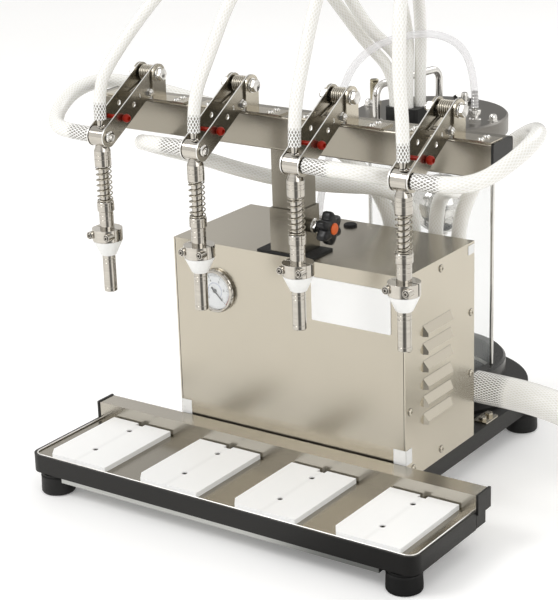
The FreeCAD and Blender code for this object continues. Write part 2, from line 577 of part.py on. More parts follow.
# Mast and beam
def mast_and_beam():
    wall = "mast_wall"
    half = centred(NOTHING, "mast_width")
    y = centred("mast_y", "mast_width")
    low = HOUSING_TOP + " - mast_drop"
    keep("mast", cut(block(half, y, (low, BEAM_BASE)),
                     block((half[0] + " + " + wall, half[1] + " - " + wall),
                           (y[0] + " + " + wall, y[1] + " - " + wall), (low + " - 1", BEAM_BASE + " + 1"))))
    y = centred("mast_y", "beam_depth")
    corners = [(y[0], BEAM_BASE), (y[1], BEAM_BASE), (y[1], BEAM_TOP), (y[0], BEAM_TOP)]
    shell = prism("x", corners, "-beam_length / 2", "beam_length / 2", (0, 1, 2, 3), "beam_corner")
    inside_y = (y[0] + " + beam_wall", y[1] + " - beam_wall")
    inside_z = (BEAM_BASE + " + beam_wall", BEAM_TOP + " - beam_wall")
    room = block(("-beam_length / 2 - 1", "beam_length / 2 + 1"), inside_y, inside_z)
    keep("beam", cut(shell, room))
    caps = []
    for sign in ("-", ""):
        ends = [sign + "(beam_length / 2 - cap_plug)", sign + "(beam_length / 2)",
                sign + "(beam_length / 2 + cap_thickness)"]
        if sign:
            ends.reverse()
            face, plug = (ends[0], ends[1]), (ends[1], ends[2])
        else:
            plug, face = (ends[0], ends[1]), (ends[1], ends[2])
        caps.append(fuse(prism("x", corners, face[0], face[1], (0, 1, 2, 3), "beam_corner"),
                         block(plug, inside_y, inside_z)))
    keep("beam_caps", *caps)


def spout_mounts():
    brackets, screws, bolts = [], [], []
    y = centred(PIVOT_Y, "ear_depth")
    for x in STATIONS:
        for sign in (1, -1):
            inner = "(%s + %d * (ear_gap / 2))" % (x, sign)
            outer = "(%s + %d * (ear_gap / 2 + ear_thickness))" % (x, sign)
            end = "(%s + %d * (ear_gap / 2 + ear_thickness + foot_reach))" % (x, sign)
            ear_x = (inner, outer) if sign > 0 else (outer, inner)
            foot_x = (inner, end) if sign > 0 else (end, inner)
            foot = block(foot_x, y, (BEAM_TOP, BEAM_TOP + " + ear_thickness"))
            ear = block(ear_x, y, (BEAM_TOP, PIVOT_Z))
            top = rod("x", (PIVOT_Y, PIVOT_Z), "ear_depth / 2", ear_x[0], ear_x[1])
            bore = rod("x", (PIVOT_Y, PIVOT_Z), "pivot_radius + pivot_gap", ear_x[0] + " - 1",
                       ear_x[1] + " + 1")
            brackets.append(cut(fuse(foot, ear, top), bore))
            for side in (-0.5, 0.5):
                centre = ("%s + %d * (ear_gap / 2 + screw_reach)" % (x, sign),
                          "%s + %s * screw_spacing" % (PIVOT_Y, side))
                foot_top = BEAM_TOP + " + ear_thickness"
                screws.append(taper("z", centre, "dome_radius", "dome_radius - 1.6", foot_top,
                                    foot_top + " + dome_height"))
        right = "(%s + ear_gap / 2 + ear_thickness)" % x
        left = "(%s - ear_gap / 2 - ear_thickness)" % x
        centre = (PIVOT_Y, PIVOT_Z)
        bolts.append(fuse(
            rod("x", centre, "pivot_radius", left + " - pivot_washer - pivot_nut_height - pivot_thread",
                right),
            rod("x", centre, "pivot_washer_radius", right, right + " + pivot_washer"),
            hexagon("x", centre, "pivot_head_across", right + " + pivot_washer",
                    right + " + pivot_washer + pivot_head_height"),
            rod("x", centre, "pivot_washer_radius", left + " - pivot_washer", left),
            hexagon("x", centre, "pivot_head_across", left + " - pivot_washer - pivot_nut_height",
                    left + " - pivot_washer")))
    keep("spout_brackets", *brackets)
    keep("bracket_screws", *screws)
    keep("pivot_bolts", *bolts)


# One filling spout. The arms are drawn level, pointing to the front, and then turned down to their droop.
def arms(number_of, x):
    plates = []
    end = ("-arm_length", NOTHING)
    lobe = ("-rod_along", "-rod_below")
    for sign in (1, -1):
        low = "arm_spread / 2 - arm_sheet" if sign > 0 else "-arm_spread / 2"
        high = "arm_spread / 2" if sign > 0 else "-arm_spread / 2 + arm_sheet"
        web = prism("x", [("-arm_length", "-arm_end_radius"), (NOTHING, "-arm_end_radius"),
                          (NOTHING, "arm_end_radius"), ("-arm_length", "arm_end_radius")], low, high)
        lug = rod("x", lobe, "rod_lobe", low, high)
        holes = [rod("x", centre, radius, low + " - 1", high + " + 1") for centre, radius in (
            ((NOTHING, NOTHING), "pivot_radius + pivot_gap"), (end, "spigot_radius + pivot_gap"),
            (("-hole_along", NOTHING), "hole_radius"))]
        plates.append(cut(fuse(web, lug, rod("x", end, "arm_end_radius", low, high),
                               rod("x", (NOTHING, NOTHING), "arm_end_radius", low, high)), *holes))
    tip = "(arm_spread / 2 + rod_nut_height + rod_end)"
    cross = fuse(rod("x", lobe, "rod_radius", "-" + tip, tip),
                 rod("x", lobe, "rod_nut_radius", "arm_spread / 2", "arm_spread / 2 + rod_nut_height"),
                 rod("x", lobe, "rod_nut_radius", "-arm_spread / 2 - rod_nut_height", "-arm_spread / 2"))
    pin_centre = ("-pin_along", NOTHING)
    pin = fuse(rod("x", pin_centre, "pin_radius", "-arm_spread / 2 - 2", "arm_spread / 2"),
               rod("x", pin_centre, "pin_head_radius", "arm_spread / 2", "arm_spread / 2 + pin_head_length"))
    bored = [cut(plate, rod("x", lobe, "rod_radius", "-arm_spread", "arm_spread"),
                 rod("x", pin_centre, "pin_radius", "-arm_spread", "arm_spread")) for plate in plates]
    keep("arms_%d" % number_of, hinged(group(*bored, cross, pin, torsion_spring()), x))


def torsion_spring():
    """Close-wound coils round the pivot bolt, with two legs that bear on the cross rod."""
    profile = [("coil_radius - coil_wire", "-coil_turns * coil_wire / 2")]
    for index in range(SIZES["coil_turns"]):
        start = "(-coil_turns / 2 + %d) * coil_wire" % index
        profile += [("coil_radius - coil_wire / 3", start), ("coil_radius", start + " + coil_wire / 2")]
    profile += [("coil_radius - coil_wire / 3", "coil_turns * coil_wire / 2"),
                ("coil_radius - coil_wire", "coil_turns * coil_wire / 2")]
    coils = turned("x", profile)
    legs = []
    mean = "(coil_radius - coil_wire / 2)"
    for side in (-1, 1):
        leg = rod("y", ("%d * (coil_turns - 1) / 2 * coil_wire" % side, "-" + mean), "coil_wire / 2",
                  "-leg_length", NOTHING)
        leg.Placement = FreeCAD.Placement(FreeCAD.Vector(), ROTATIONS["y"])
        slope = "atan((%s - leg_end) / leg_length)" % mean
        bind(leg, "Placement.Rotation.Angle", "-(90 deg + %s)" % slope)
        place(leg, "%d * (coil_turns - 1) / 2 * coil_wire" % side, "-leg_length", "-leg_end")
        legs.append(leg)
    return fuse(coils, *legs)


def hinged(item, x):
    """Turn a level arm down about its pivot and set it at its station."""
    item.Placement = FreeCAD.Placement(FreeCAD.Vector(), FreeCAD.Rotation(FreeCAD.Vector(1, 0, 0), 30))
    bind(item, "Placement.Rotation.Angle", "arm_droop")
    return place(item, x, PIVOT_Y, PIVOT_Z)


def head(number_of, x):
    centre = (NOTHING, NOTHING)
    inside = "(arm_spread / 2 - arm_sheet - head_gap)"
    right, left = "(arm_spread / 2 + spigot_length)", "(-arm_spread / 2 - 0.2)"
    barrel = rod("x", centre, "head_radius", "-" + inside, inside)
    feed = rod("x", centre, "spigot_radius", inside, right)
    screw = fuse(rod("x", centre, "spigot_radius", "-arm_spread / 2 - 0.2", "-" + inside),
                 rod("x", centre, "hinge_screw_radius", "-arm_spread / 2 - 0.2 - hinge_screw_head", left))
    if number_of < 3:
        feed = rod("x", centre, "spigot_radius", "-" + right, "-" + inside)
        screw = fuse(rod("x", centre, "spigot_radius", inside, "arm_spread / 2 + 0.2"),
                     rod("x", centre, "hinge_screw_radius", "arm_spread / 2 + 0.2",
                         "arm_spread / 2 + 0.2 + hinge_screw_head"))
    pipe_up = rod("z", centre, "top_pipe_radius", NOTHING, "top_pipe_length")
    stem = turned("z", [(NOTHING, "-stack_length"), ("inner_radius - 1.5", "-stack_length"),
                        ("inner_radius", "-stack_length + 1.5"), ("inner_radius", "-bush_bottom"),
                        ("bush_radius", "-bush_bottom"), ("bush_radius", "-bush_top - 8"),
                        ("bush_radius - 2", "-bush_top"), (NOTHING, "-bush_top")])
    keep("head_%d" % number_of, place(fuse(barrel, feed, screw, pipe_up, stem), x, HEAD_Y, HEAD_Z))


def nozzle(number_of, x):
    top = "(-bush_bottom - spring_length)"
    bore = "(inner_radius + inner_gap)"
    tube = turned("z", [(bore, "-stack_length"), ("lower_tube_radius", "-stack_length"),
                        ("lower_tube_radius", "-collar_top"), ("nozzle_tube_radius", "-collar_top"),
                        ("nozzle_tube_radius", top + " - nozzle_sleeve_length"),
                        ("nozzle_sleeve_radius", top + " - nozzle_sleeve_length"),
                        ("nozzle_sleeve_radius", top), (bore, top)])
    centre = (NOTHING, NOTHING)
    low, high = "-collar_top - collar_length", "-collar_top"
    ring = pipe("z", centre, "collar_radius", "lower_tube_radius", low, high)
    slit = block(centred(NOTHING, "collar_slit"), ("-2 * collar_radius", NOTHING),
                 (low + " - 1", high + " + 1"))
    screws = [rod("y", (side + "collar_screw_offset", low + " + collar_length / 2"), "collar_screw_radius",
                  "-collar_radius - 0.8", "-collar_radius / 2") for side in ("-", "")]
    seats = [rod("y", (side + "collar_screw_offset", low + " + collar_length / 2"), "collar_screw_radius",
                 "-collar_radius - 0.8", "-collar_radius / 2") for side in ("-", "")]
    cone = cut(taper("z", centre, "cone_tip_radius", "collar_radius - 0.5", low + " - cone_length", low),
               rod("z", centre, "lower_tube_radius", low + " - 2 * cone_length", high))
    pieces = group(tube, cut(ring, slit, *seats), *screws, cone)
    keep("nozzle_%d" % number_of, place(pieces, x, HEAD_Y, HEAD_Z))


def nozzle_spring(number_of, x):
    bottom = number("-bush_bottom - spring_length + spring_gap")
    length = number("spring_length - 2 * spring_gap")
    shape = coil(number("spring_radius"), number("spring_wire"), number("spring_turns"), bottom, length)
    keep("nozzle_spring_%d" % number_of, place(solid(shape), x, HEAD_Y, HEAD_Z))


# Overflow vessel
def vessel():
    centre = ("vessel_x", VESSEL_Y)
    keep("vessel_plate", rod("z", centre, "plate_radius", BAR_TOP, PLATE_TOP))
    glass_gap = "(vessel_radius + vessel_gap)"
    keep("vessel_base", turned("z", [(NOTHING, PLATE_TOP), ("base_cup_radius", PLATE_TOP),
                                     ("base_cup_radius", PLATE_TOP + " + base_cup_height - 3"),
                                     ("base_cup_radius - 3", PLATE_TOP + " + base_cup_height"),
                                     (glass_gap, PLATE_TOP + " + base_cup_height"), (glass_gap, CUP_FLOOR),
                                     (NOTHING, CUP_FLOOR)], centre))
    groove = "(%s + lid_groove)" % LID_BASE
    glass_low, glass_high = CUP_FLOOR + " + seal_thickness", groove + " - seal_thickness"
    bore = "vessel_radius - vessel_wall"
    keep("vessel_glass", pipe("z", centre, "vessel_radius", bore, glass_low, glass_high))
    keep("vessel_seals", pipe("z", centre, "vessel_radius", bore, CUP_FLOOR, glass_low),
         pipe("z", centre, "vessel_radius", bore, glass_high, groove))
    inner_gap = "(vessel_radius - vessel_wall - vessel_gap)"
    keep("vessel_lid", turned("z", [(NOTHING, LID_BASE), (inner_gap, LID_BASE), (inner_gap, groove),
                                    (glass_gap, groove), (glass_gap, LID_BASE), ("lid_radius", LID_BASE),
                                    ("lid_radius", LID_TOP + " - 2"), ("lid_radius - 2", LID_TOP),
                                    (NOTHING, LID_TOP)], centre))
    rods = []
    for turn in (0, 90, 180, 270):
        at = ("vessel_x + tie_circle * cos(%d)" % turn, VESSEL_Y + " + tie_circle * sin(%d)" % turn)
        rods.append(rod("z", at, "tie_radius", PLATE_TOP + " + base_cup_height", LID_BASE))
        rods.append(turned("z", [(NOTHING, LID_TOP), ("dome_nut_radius", LID_TOP),
                                 ("dome_nut_radius", LID_TOP + " + dome_nut_height / 2"),
                                 ("dome_nut_radius * 0.7", LID_TOP + " + dome_nut_height * 0.85"),
                                 (NOTHING, LID_TOP + " + dome_nut_height")], at))
    keep("tie_rods", *rods)


def lid_pieces():
    top = LID_TOP
    legs = []
    for side in ("-", ""):
        legs.append(rod("z", (NOTHING, side + "handle_half"), "handle_radius", NOTHING,
                        "handle_height - handle_bend"))
        bend = doc.addObject("Part::Torus", "Bend")
        bind(bend, "Radius1", "handle_bend")
        bind(bend, "Radius2", "handle_radius")
        bend.Angle3 = 90
        across, up = FreeCAD.Vector(0, 1, 0), FreeCAD.Vector(0, 0, 1)
        first, second = (up, -across) if side else (across, up)
        turn = FreeCAD.Rotation(first, second, FreeCAD.Vector(1, 0, 0), "XYZ")
        bend.Placement = FreeCAD.Placement(FreeCAD.Vector(), turn)
        place(bend, NOTHING, "%s(handle_half - handle_bend)" % side, "handle_height - handle_bend")
        legs.append(bend)
    grip = rod("y", (NOTHING, "handle_height"), "handle_radius", "-handle_half + handle_bend",
               "handle_half - handle_bend")
    handle = fuse(*legs, grip)
    handle.Placement = FreeCAD.Placement(FreeCAD.Vector(), FreeCAD.Rotation(FreeCAD.Vector(0, 0, 1), -8))
    bind(handle, "Placement.Rotation.Angle", "-handle_turn")
    keep("lid_handle", place(handle, "vessel_x + handle_x", VESSEL_Y, top))
    x = centred("vessel_x + block_x", "block_width")
    y = centred(VESSEL_Y + " - block_depth", "block_length")
    corners = [(x[0], y[0]), (x[1], y[0]), (x[1], y[1]), (x[0], y[1])]
    keep("lid_block", prism("z", corners, top, top + " + block_height", (0, 1, 2, 3), "block_corner"))
    barb_at = ("vessel_x + barb_x", VESSEL_Y + " - barb_depth")
    collar_low, barb_top = top + " + 2 * barb_shoulder", top + " + barb_height"
    barb = fuse(hexagon("z", barb_at, "2 * barb_radius + 3", top, top + " + barb_shoulder"),
                turned("z", [(NOTHING, top), ("barb_radius - 0.5", top), ("barb_radius - 0.5", collar_low),
                             ("barb_radius + 2", collar_low), ("barb_radius + 2", barb_top + " - 3"),
                             ("barb_radius", barb_top + " - 3"), ("barb_radius", barb_top),
                             (NOTHING, barb_top)], barb_at))
    relief_at = ("vessel_x + relief_x", VESSEL_Y + " + relief_depth")
    relief_top = top + " + relief_height"
    relief = turned("z", [(NOTHING, top), ("relief_radius + 1", top), ("relief_radius + 1", top + " + 4"),
                          ("relief_radius", top + " + 4"), ("relief_radius", relief_top + " - 3"),
                          ("relief_radius - 2", relief_top), (NOTHING, relief_top)], relief_at)
    wing_at = ("vessel_x + wing_x", VESSEL_Y + " + wing_depth")
    stud = rod("z", wing_at, "wing_stud_radius", top, top + " + wing_stud_height")
    keep("lid_fittings", barb, relief, stud, float_stem())
    hub_low = top + " + 1.5"
    hub = rod("z", wing_at, "wing_hub_radius", hub_low, hub_low + " + wing_hub_height")
    wings = [prism("y", [("%s4" % sign, hub_low + " + 2"), ("%swing_span" % sign, hub_low + " + 9"),
                         ("%s(wing_span - 1)" % sign, hub_low + " + 15"), ("%s6" % sign, hub_low + " + 8")],
                   "-wing_thickness / 2", "wing_thickness / 2") for sign in ("-", "")]
    pair = group(*wings)
    place(pair, wing_at[0], wing_at[1], NOTHING)
    bore = rod("z", wing_at, "wing_stud_radius + wing_gap", top, top + " + 2 * wing_stud_height")
    keep("wing_nut", cut(fuse(hub, pair), bore))


def float_stem():
    """The stem that hangs below the lid, with the disc that the float rests on."""
    at = ("vessel_x + float_x", VESSEL_Y)
    low = "(%s - float_radius)" % FLOAT_Z
    return fuse(rod("z", at, "float_stem_radius", low + " - 8", LID_BASE),
                rod("z", at, "2.5 * float_stem_radius", low + " - 3", low))


def float_ball():
    at = ("vessel_x + float_x", VESSEL_Y)
    ball = doc.addObject("Part::Sphere", "Ball")
    bind(ball, "Radius", "float_radius")
    place(ball, at[0], at[1], FLOAT_Z)
    keep("float_ball", cut(ball, rod("z", at, "float_stem_radius + float_gap", CUP_FLOOR, LID_BASE)))


# Inside and behind the housing
def pump():
    y, z = behind("pump_depth"), "(%s + pump_axis)" % BAR_TOP
    motor = rod("x", (y, z), "pump_radius", PUMP_X, PUMP_X + " + pump_length - pump_head")
    end = prism("x", [("%s - pump_radius" % y, z + " - pump_radius"),
                      ("%s + pump_radius" % y, z + " - pump_radius"),
                      ("%s + pump_radius" % y, z + " + pump_radius"),
                      ("%s + pump_radius / 2" % y, z + " + pump_radius * 1.6"),
                      ("%s - pump_radius / 2" % y, z + " + pump_radius * 1.6"),
                      ("%s - pump_radius" % y, z + " + pump_radius")],
                PUMP_X + " + pump_length - pump_head", PUMP_X + " + pump_length")
    foot = block((PUMP_X + " + 10", PUMP_X + " + pump_length"), centred(y, "pump_radius"),
                 (BAR_TOP + " + shell_wall", z + " - pump_radius + pump_foot"))
    keep("vacuum_pump", fuse(motor, end, foot))


def power_inlet():
    back = HOUSING_BACK
    low = "(%s + inlet_low)" % BAR_TOP
    x = centred(INLET_X, "inlet_width")
    body = block(x, (back, back + " + inlet_stand"), (low, low + " + inlet_height"))
    recess = (back + " + inlet_stand - inlet_recess", back + " + 2 * inlet_stand")
    socket = block(centred(INLET_X, "socket_width"), recess, (low + " + 6", low + " + 6 + socket_height"))
    well_z = "(%s + inlet_height - switch_drop)" % low
    well = block(centred(INLET_X, "switch_length + 2 * switch_gap"), recess,
                 centred(well_z, "switch_width + 2 * switch_gap"))
    keep("power_inlet", cut(body, socket, well))
    rocker = prism("z", [("-switch_length / 2", "-0.6"), (NOTHING, "-switch_axis + switch_gap"),
                         ("switch_length / 2", "-0.6"),
                         ("switch_length / 2", "inlet_recess + switch_rise - switch_axis"),
                         (NOTHING, "inlet_recess + switch_gap - switch_axis"),
                         ("-switch_length / 2", "inlet_recess + switch_rise - switch_axis")],
                   "-switch_width / 2", "switch_width / 2")
    rocker.Placement = FreeCAD.Placement(FreeCAD.Vector(), FreeCAD.Rotation(FreeCAD.Vector(0, 0, 1), 6))
    bind(rocker, "Placement.Rotation.Angle", "switch_tilt")
    keep("power_switch", place(rocker, INLET_X, back + " + inlet_stand - inlet_recess + switch_axis", well_z))


def feed_manifold():
    y, z = behind("header_depth"), "(%s + header_height)" % BAR_TOP
    pieces = [rod("x", (y, z), "header_radius", "header_left", "header_right")]
    for index in range(4):
        pieces.append(rod("z", ("outlet_first + %d * outlet_pitch" % index, y), "outlet_radius", z,
                          z + " + outlet_height"))
    low = "(%s + inlet_axis)" % BAR_TOP
    pieces.append(rod("z", ("downcomer_x", y), "header_radius", low, z))
    pieces.append(rod("x", (y, low), "inlet_barb_radius", "downcomer_x", "inlet_barb_end"))
    pieces.append(rod("x", (y, low), "inlet_barb_radius + 3", "downcomer_x - 4", "downcomer_x + 14"))
    for x in ("header_left + 12", "downcomer_x"):
        height = z if x.startswith("header") else "(%s + 90)" % low
        pieces.append(block(centred(x, "12"), (HOUSING_BACK, y), centred(height, "16")))
    keep("feed_manifold", fuse(*pieces))


def vessel_straps():
    x = centred("bar_centre", "bar_width - 2")
    y = (behind("strap_front"), behind("strap_front + strap_length"))
    corners = [(x[0], y[0]), (x[1], y[0]), (x[1], y[1]), (x[0], y[1])]
    plate = prism("z", corners, BAR_TOP, BAR_TOP + " + strap_sheet", (0, 1, 2, 3), "strap_corner")
    nuts = []
    for offset in ("7", "strap_length - 7"):
        nuts.append(hexagon("z", ("bar_centre", behind("strap_front + %s" % offset)), "2 * strap_nut_radius",
                            BAR_TOP + " + strap_sheet", BAR_TOP + " + strap_sheet + strap_nut_height"))
    keep("vessel_straps", plate, *nuts)


# Hoses. Their points are chosen by hand along each hose's real route: x, depth behind the mast, height.
# A hose starts and ends straight off its spigot, so its first and last points are set there by a short lead.
FEED_ROUTES = [
    [(-272, -86, 424), (-294, -54, 433), (-302, -14, 447), (-292, 26, 453), (-252, 52, 444), (-190, 66, 431),
     (-112, 72, 416), (-44, 84, 402), (8, 118, 370)],
    [(-140, -92, 419), (-160, -66, 411), (-160, -28, 395), (-140, 12, 378), (-104, 42, 360), (-52, 70, 346),
     (0, 92, 342), (42, 118, 340), (61, 140, 322)],
    [(154, -92, 420), (182, -70, 411), (200, -34, 400), (200, 16, 384), (172, 68, 364), (134, 114, 350),
     (106, 142, 328)],
    [(284, -86, 427), (300, -54, 441), (304, -14, 453), (292, 26, 457), (260, 58, 443), (212, 92, 410),
     (162, 124, 362)],
]
RETURN_ROUTES = [
    [(-182, -88, 506), (-160, -52, 556), (-130, -4, 612), (-92, 52, 636), (-60, 108, 606), (-36, 148, 546),
     (-18, 184, 492)],
    [(-54, -76, 520), (-45, -42, 584), (-32, 6, 630), (-22, 62, 640), (-14, 116, 584), (-4, 166, 514),
     (6, 204, 484)],
    [(68, -76, 524), (61, -36, 588), (52, 16, 634), (42, 74, 642), (33, 134, 612), (25, 188, 560),
     (21, 218, 500)],
    [(196, -96, 530), (188, -78, 600), (166, -30, 644), (132, 40, 650), (96, 104, 622), (64, 166, 568),
     (38, 218, 506)],
]
CLEAR_ROUTE = [(-31, 119, 362), (-23, 127, 420), (-12, 139, 472), (14, 165, 500), (56, 207, 508),
               (84, 236, 490)]
INLET_ROUTE = [(226, 152, 100), (268, 152, 94), (310, 152, 81), (372, 152, 49.5), (414, 152, 32),
               (450, 152, 22.5)]
PORTS = [(-13, -7), (-6, 9), (5, -8), (13, 8)]


def route(points):
    return [FreeCAD.Vector(x, number("mast_y") + depth, z) for x, depth, z in points]


def run(start, lead_out, points, lead_in, end, radius):
    """A hose between two spigots, with a straight lead off each."""
    return solid(hose([start, start + lead_out] + route(points) + [end + lead_in, end], radius))


def hoses():
    feeds, returns = [], []
    up = FreeCAD.Vector(0, 0, 1)
    right = FreeCAD.Vector(1, 0, 0)
    for index, x in enumerate(STATIONS):
        sign = -1 if index < 2 else 1
        start = vector("%s + %d * (arm_spread / 2 + spigot_length)" % (x, sign), HEAD_Y, HEAD_Z)
        end = vector("outlet_first + %d * outlet_pitch" % index, behind("header_depth"),
                     "%s + header_height + outlet_height" % BAR_TOP)
        feeds.append(run(start, right * sign * number("feed_lead"), FEED_ROUTES[index],
                         up * number("outlet_lead"), end, number("feed_hose_radius")))
        start = vector(x, HEAD_Y, HEAD_Z + " + top_pipe_length")
        aside, back = PORTS[index]
        end = vector("vessel_x + block_x + (%d)" % aside, VESSEL_Y + " - block_depth + (%d)" % back,
                     LID_TOP + " + block_height")
        returns.append(run(start, up * number("pipe_lead"), RETURN_ROUTES[index],
                           up * number("port_lead"), end, number("return_hose_radius")))
    keep("feed_hoses", *feeds)
    keep("return_hoses", *returns)
    start = vector("hose_bush_x", behind("hose_bush_depth"), HOUSING_TOP + " + grommet_height")
    end = vector("vessel_x + barb_x", VESSEL_Y + " - barb_depth", LID_TOP + " + barb_height")
    keep("vacuum_hose", run(start, up * number("bush_lead"), CLEAR_ROUTE, up * number("barb_lead"), end,
                            number("clear_hose_radius")))
    start = vector("inlet_barb_end", behind("header_depth"), "%s + inlet_axis" % BAR_TOP)
    end = vector("coil_loop_x", COIL_Y + " - coil_loop_radius", "big_hose_radius")
    keep("inlet_hose", run(start, right * number("inlet_lead"), INLET_ROUTE, right * -number("coil_lead"),
                           end, number("big_hose_radius")))
    loop = doc.addObject("Part::Torus", "Loop")
    bind(loop, "Radius1", "coil_loop_radius")
    bind(loop, "Radius2", "big_hose_radius")
    bind(loop, "Angle3", "coil_turn")
    loop.Placement = FreeCAD.Placement(FreeCAD.Vector(), FreeCAD.Rotation(FreeCAD.Vector(0, 0, 1), -90))
    keep("inlet_coil", place(loop, "coil_loop_x", COIL_Y, "big_hose_radius"))
    fitting = turned("z", [(NOTHING, NOTHING), ("big_hose_radius", NOTHING),
                           ("big_hose_radius", "fitting_ferrule"), ("fitting_radius", "fitting_ferrule"),
                           ("fitting_radius", "fitting_length - fitting_collar"),
                           ("big_hose_radius", "fitting_length - fitting_collar"),
                           ("big_hose_radius", "fitting_length"),
                           (NOTHING, "fitting_length")])
    heading = FreeCAD.Rotation(FreeCAD.Vector(0, 0, 1), number("coil_turn")).multiply(ROTATIONS["x"])
    fitting.Placement = FreeCAD.Placement(FreeCAD.Vector(), heading)
    keep("inlet_fitting", place(fitting, "coil_loop_x + coil_loop_radius * sin(coil_turn)",
                                COIL_Y + " - coil_loop_radius * cos(coil_turn)", "big_hose_radius"))


def build():
    base_frame()
    rubber_feet()
    drip_tray()
    screws = bottle_rests()
    screws += housing()
    keep("machine_screws", *screws)
    vacuum_gauge()
    column()
    clamp_knob()
    mast_and_beam()
    spout_mounts()
    for index, x in enumerate(STATIONS, start=1):
        arms(index, x)
        head(index, x)
        nozzle(index, x)
        nozzle_spring(index, x)
    vessel()
    lid_pieces()
    float_ball()
    pump()
    power_inlet()
    feed_manifold()
    vessel_straps()
    hoses()


def check_and_write():
    """Stop on a failed object or sub-part, and write one file for each sub-part."""
    doc.recompute()
    for item in doc.Objects:
        if "Invalid" in item.State or "Error" in item.State:
            raise RuntimeError("%s (%s) is %s: %s" % (item.Name, item.Label, item.State,
                                                      item.getStatusString()))
    for item in parts:
        if item.Shape.isNull() or not item.Shape.isValid():
            raise RuntimeError("the shape of %s is not valid" % item.Label)
    os.makedirs("parts", exist_ok=True)
    for item in parts:
        item.Shape.exportStep("parts/%s.step" % item.Label)
    print("wrote %d sub-parts" % len(parts))


build()
check_and_write()
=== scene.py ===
"""Looks of the bench-top vacuum filler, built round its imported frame. Lengths below are in millimetres."""
import json
import math
import random

import bmesh
import bpy
from mathutils import Matrix, Vector

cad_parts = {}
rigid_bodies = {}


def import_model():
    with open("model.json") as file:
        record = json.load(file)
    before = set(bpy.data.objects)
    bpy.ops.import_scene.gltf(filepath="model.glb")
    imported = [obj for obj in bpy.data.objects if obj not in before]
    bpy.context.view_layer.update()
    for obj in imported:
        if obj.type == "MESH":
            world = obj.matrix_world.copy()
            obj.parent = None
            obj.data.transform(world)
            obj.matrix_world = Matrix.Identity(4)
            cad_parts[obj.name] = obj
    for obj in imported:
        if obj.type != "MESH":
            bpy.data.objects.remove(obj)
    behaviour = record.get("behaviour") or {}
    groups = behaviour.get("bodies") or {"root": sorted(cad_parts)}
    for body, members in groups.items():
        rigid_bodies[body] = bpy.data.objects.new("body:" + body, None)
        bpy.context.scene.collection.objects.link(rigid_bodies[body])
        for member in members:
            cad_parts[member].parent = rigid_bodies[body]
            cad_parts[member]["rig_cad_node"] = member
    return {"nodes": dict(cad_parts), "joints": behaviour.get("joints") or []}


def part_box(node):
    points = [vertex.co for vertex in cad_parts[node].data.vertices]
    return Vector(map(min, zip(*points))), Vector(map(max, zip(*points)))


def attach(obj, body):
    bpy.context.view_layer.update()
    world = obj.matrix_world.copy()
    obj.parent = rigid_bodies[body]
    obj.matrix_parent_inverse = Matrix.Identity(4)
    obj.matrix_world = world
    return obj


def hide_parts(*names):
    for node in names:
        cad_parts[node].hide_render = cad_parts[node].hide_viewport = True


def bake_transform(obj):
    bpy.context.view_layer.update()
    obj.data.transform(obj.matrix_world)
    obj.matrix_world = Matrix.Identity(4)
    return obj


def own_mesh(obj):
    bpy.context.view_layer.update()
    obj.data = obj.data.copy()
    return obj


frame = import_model()
nodes = frame["nodes"]
joints = {joint["name"]: joint for joint in frame["joints"]}
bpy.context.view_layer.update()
MM = 0.001

# Camera of the photograph: azimuth and elevation of its view, its place, and its lens.
AZIMUTH, ELEVATION, ROLL = 35.0, 19.0, -1.8
CAMERA_AT = (1120.2, -1725.1, 912.2)
LENS, SENSOR, SHIFT_X, SHIFT_Y = 109.56, 36.0, -0.0088, -0.0038


def joint_point(name):
    return Vector(joints[name]["pos_m"]) / MM


STATIONS = range(1, 5)
PIVOTS = {i: joint_point("arm_lift_%d" % i) for i in STATIONS}
HEADS = {i: joint_point("head_swing_%d" % i) for i in STATIONS}
ARM_LENGTH = (HEADS[1] - PIVOTS[1]).length
DROOP = math.atan2(PIVOTS[1].z - HEADS[1].z, PIVOTS[1].y - HEADS[1].y)


def box(node):
    low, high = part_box(node)
    return low / MM, high / MM


def middle(node):
    """The middle of a node's box, from above."""
    low, high = box(node)
    return (low.x + high.x) / 2, (low.y + high.y) / 2


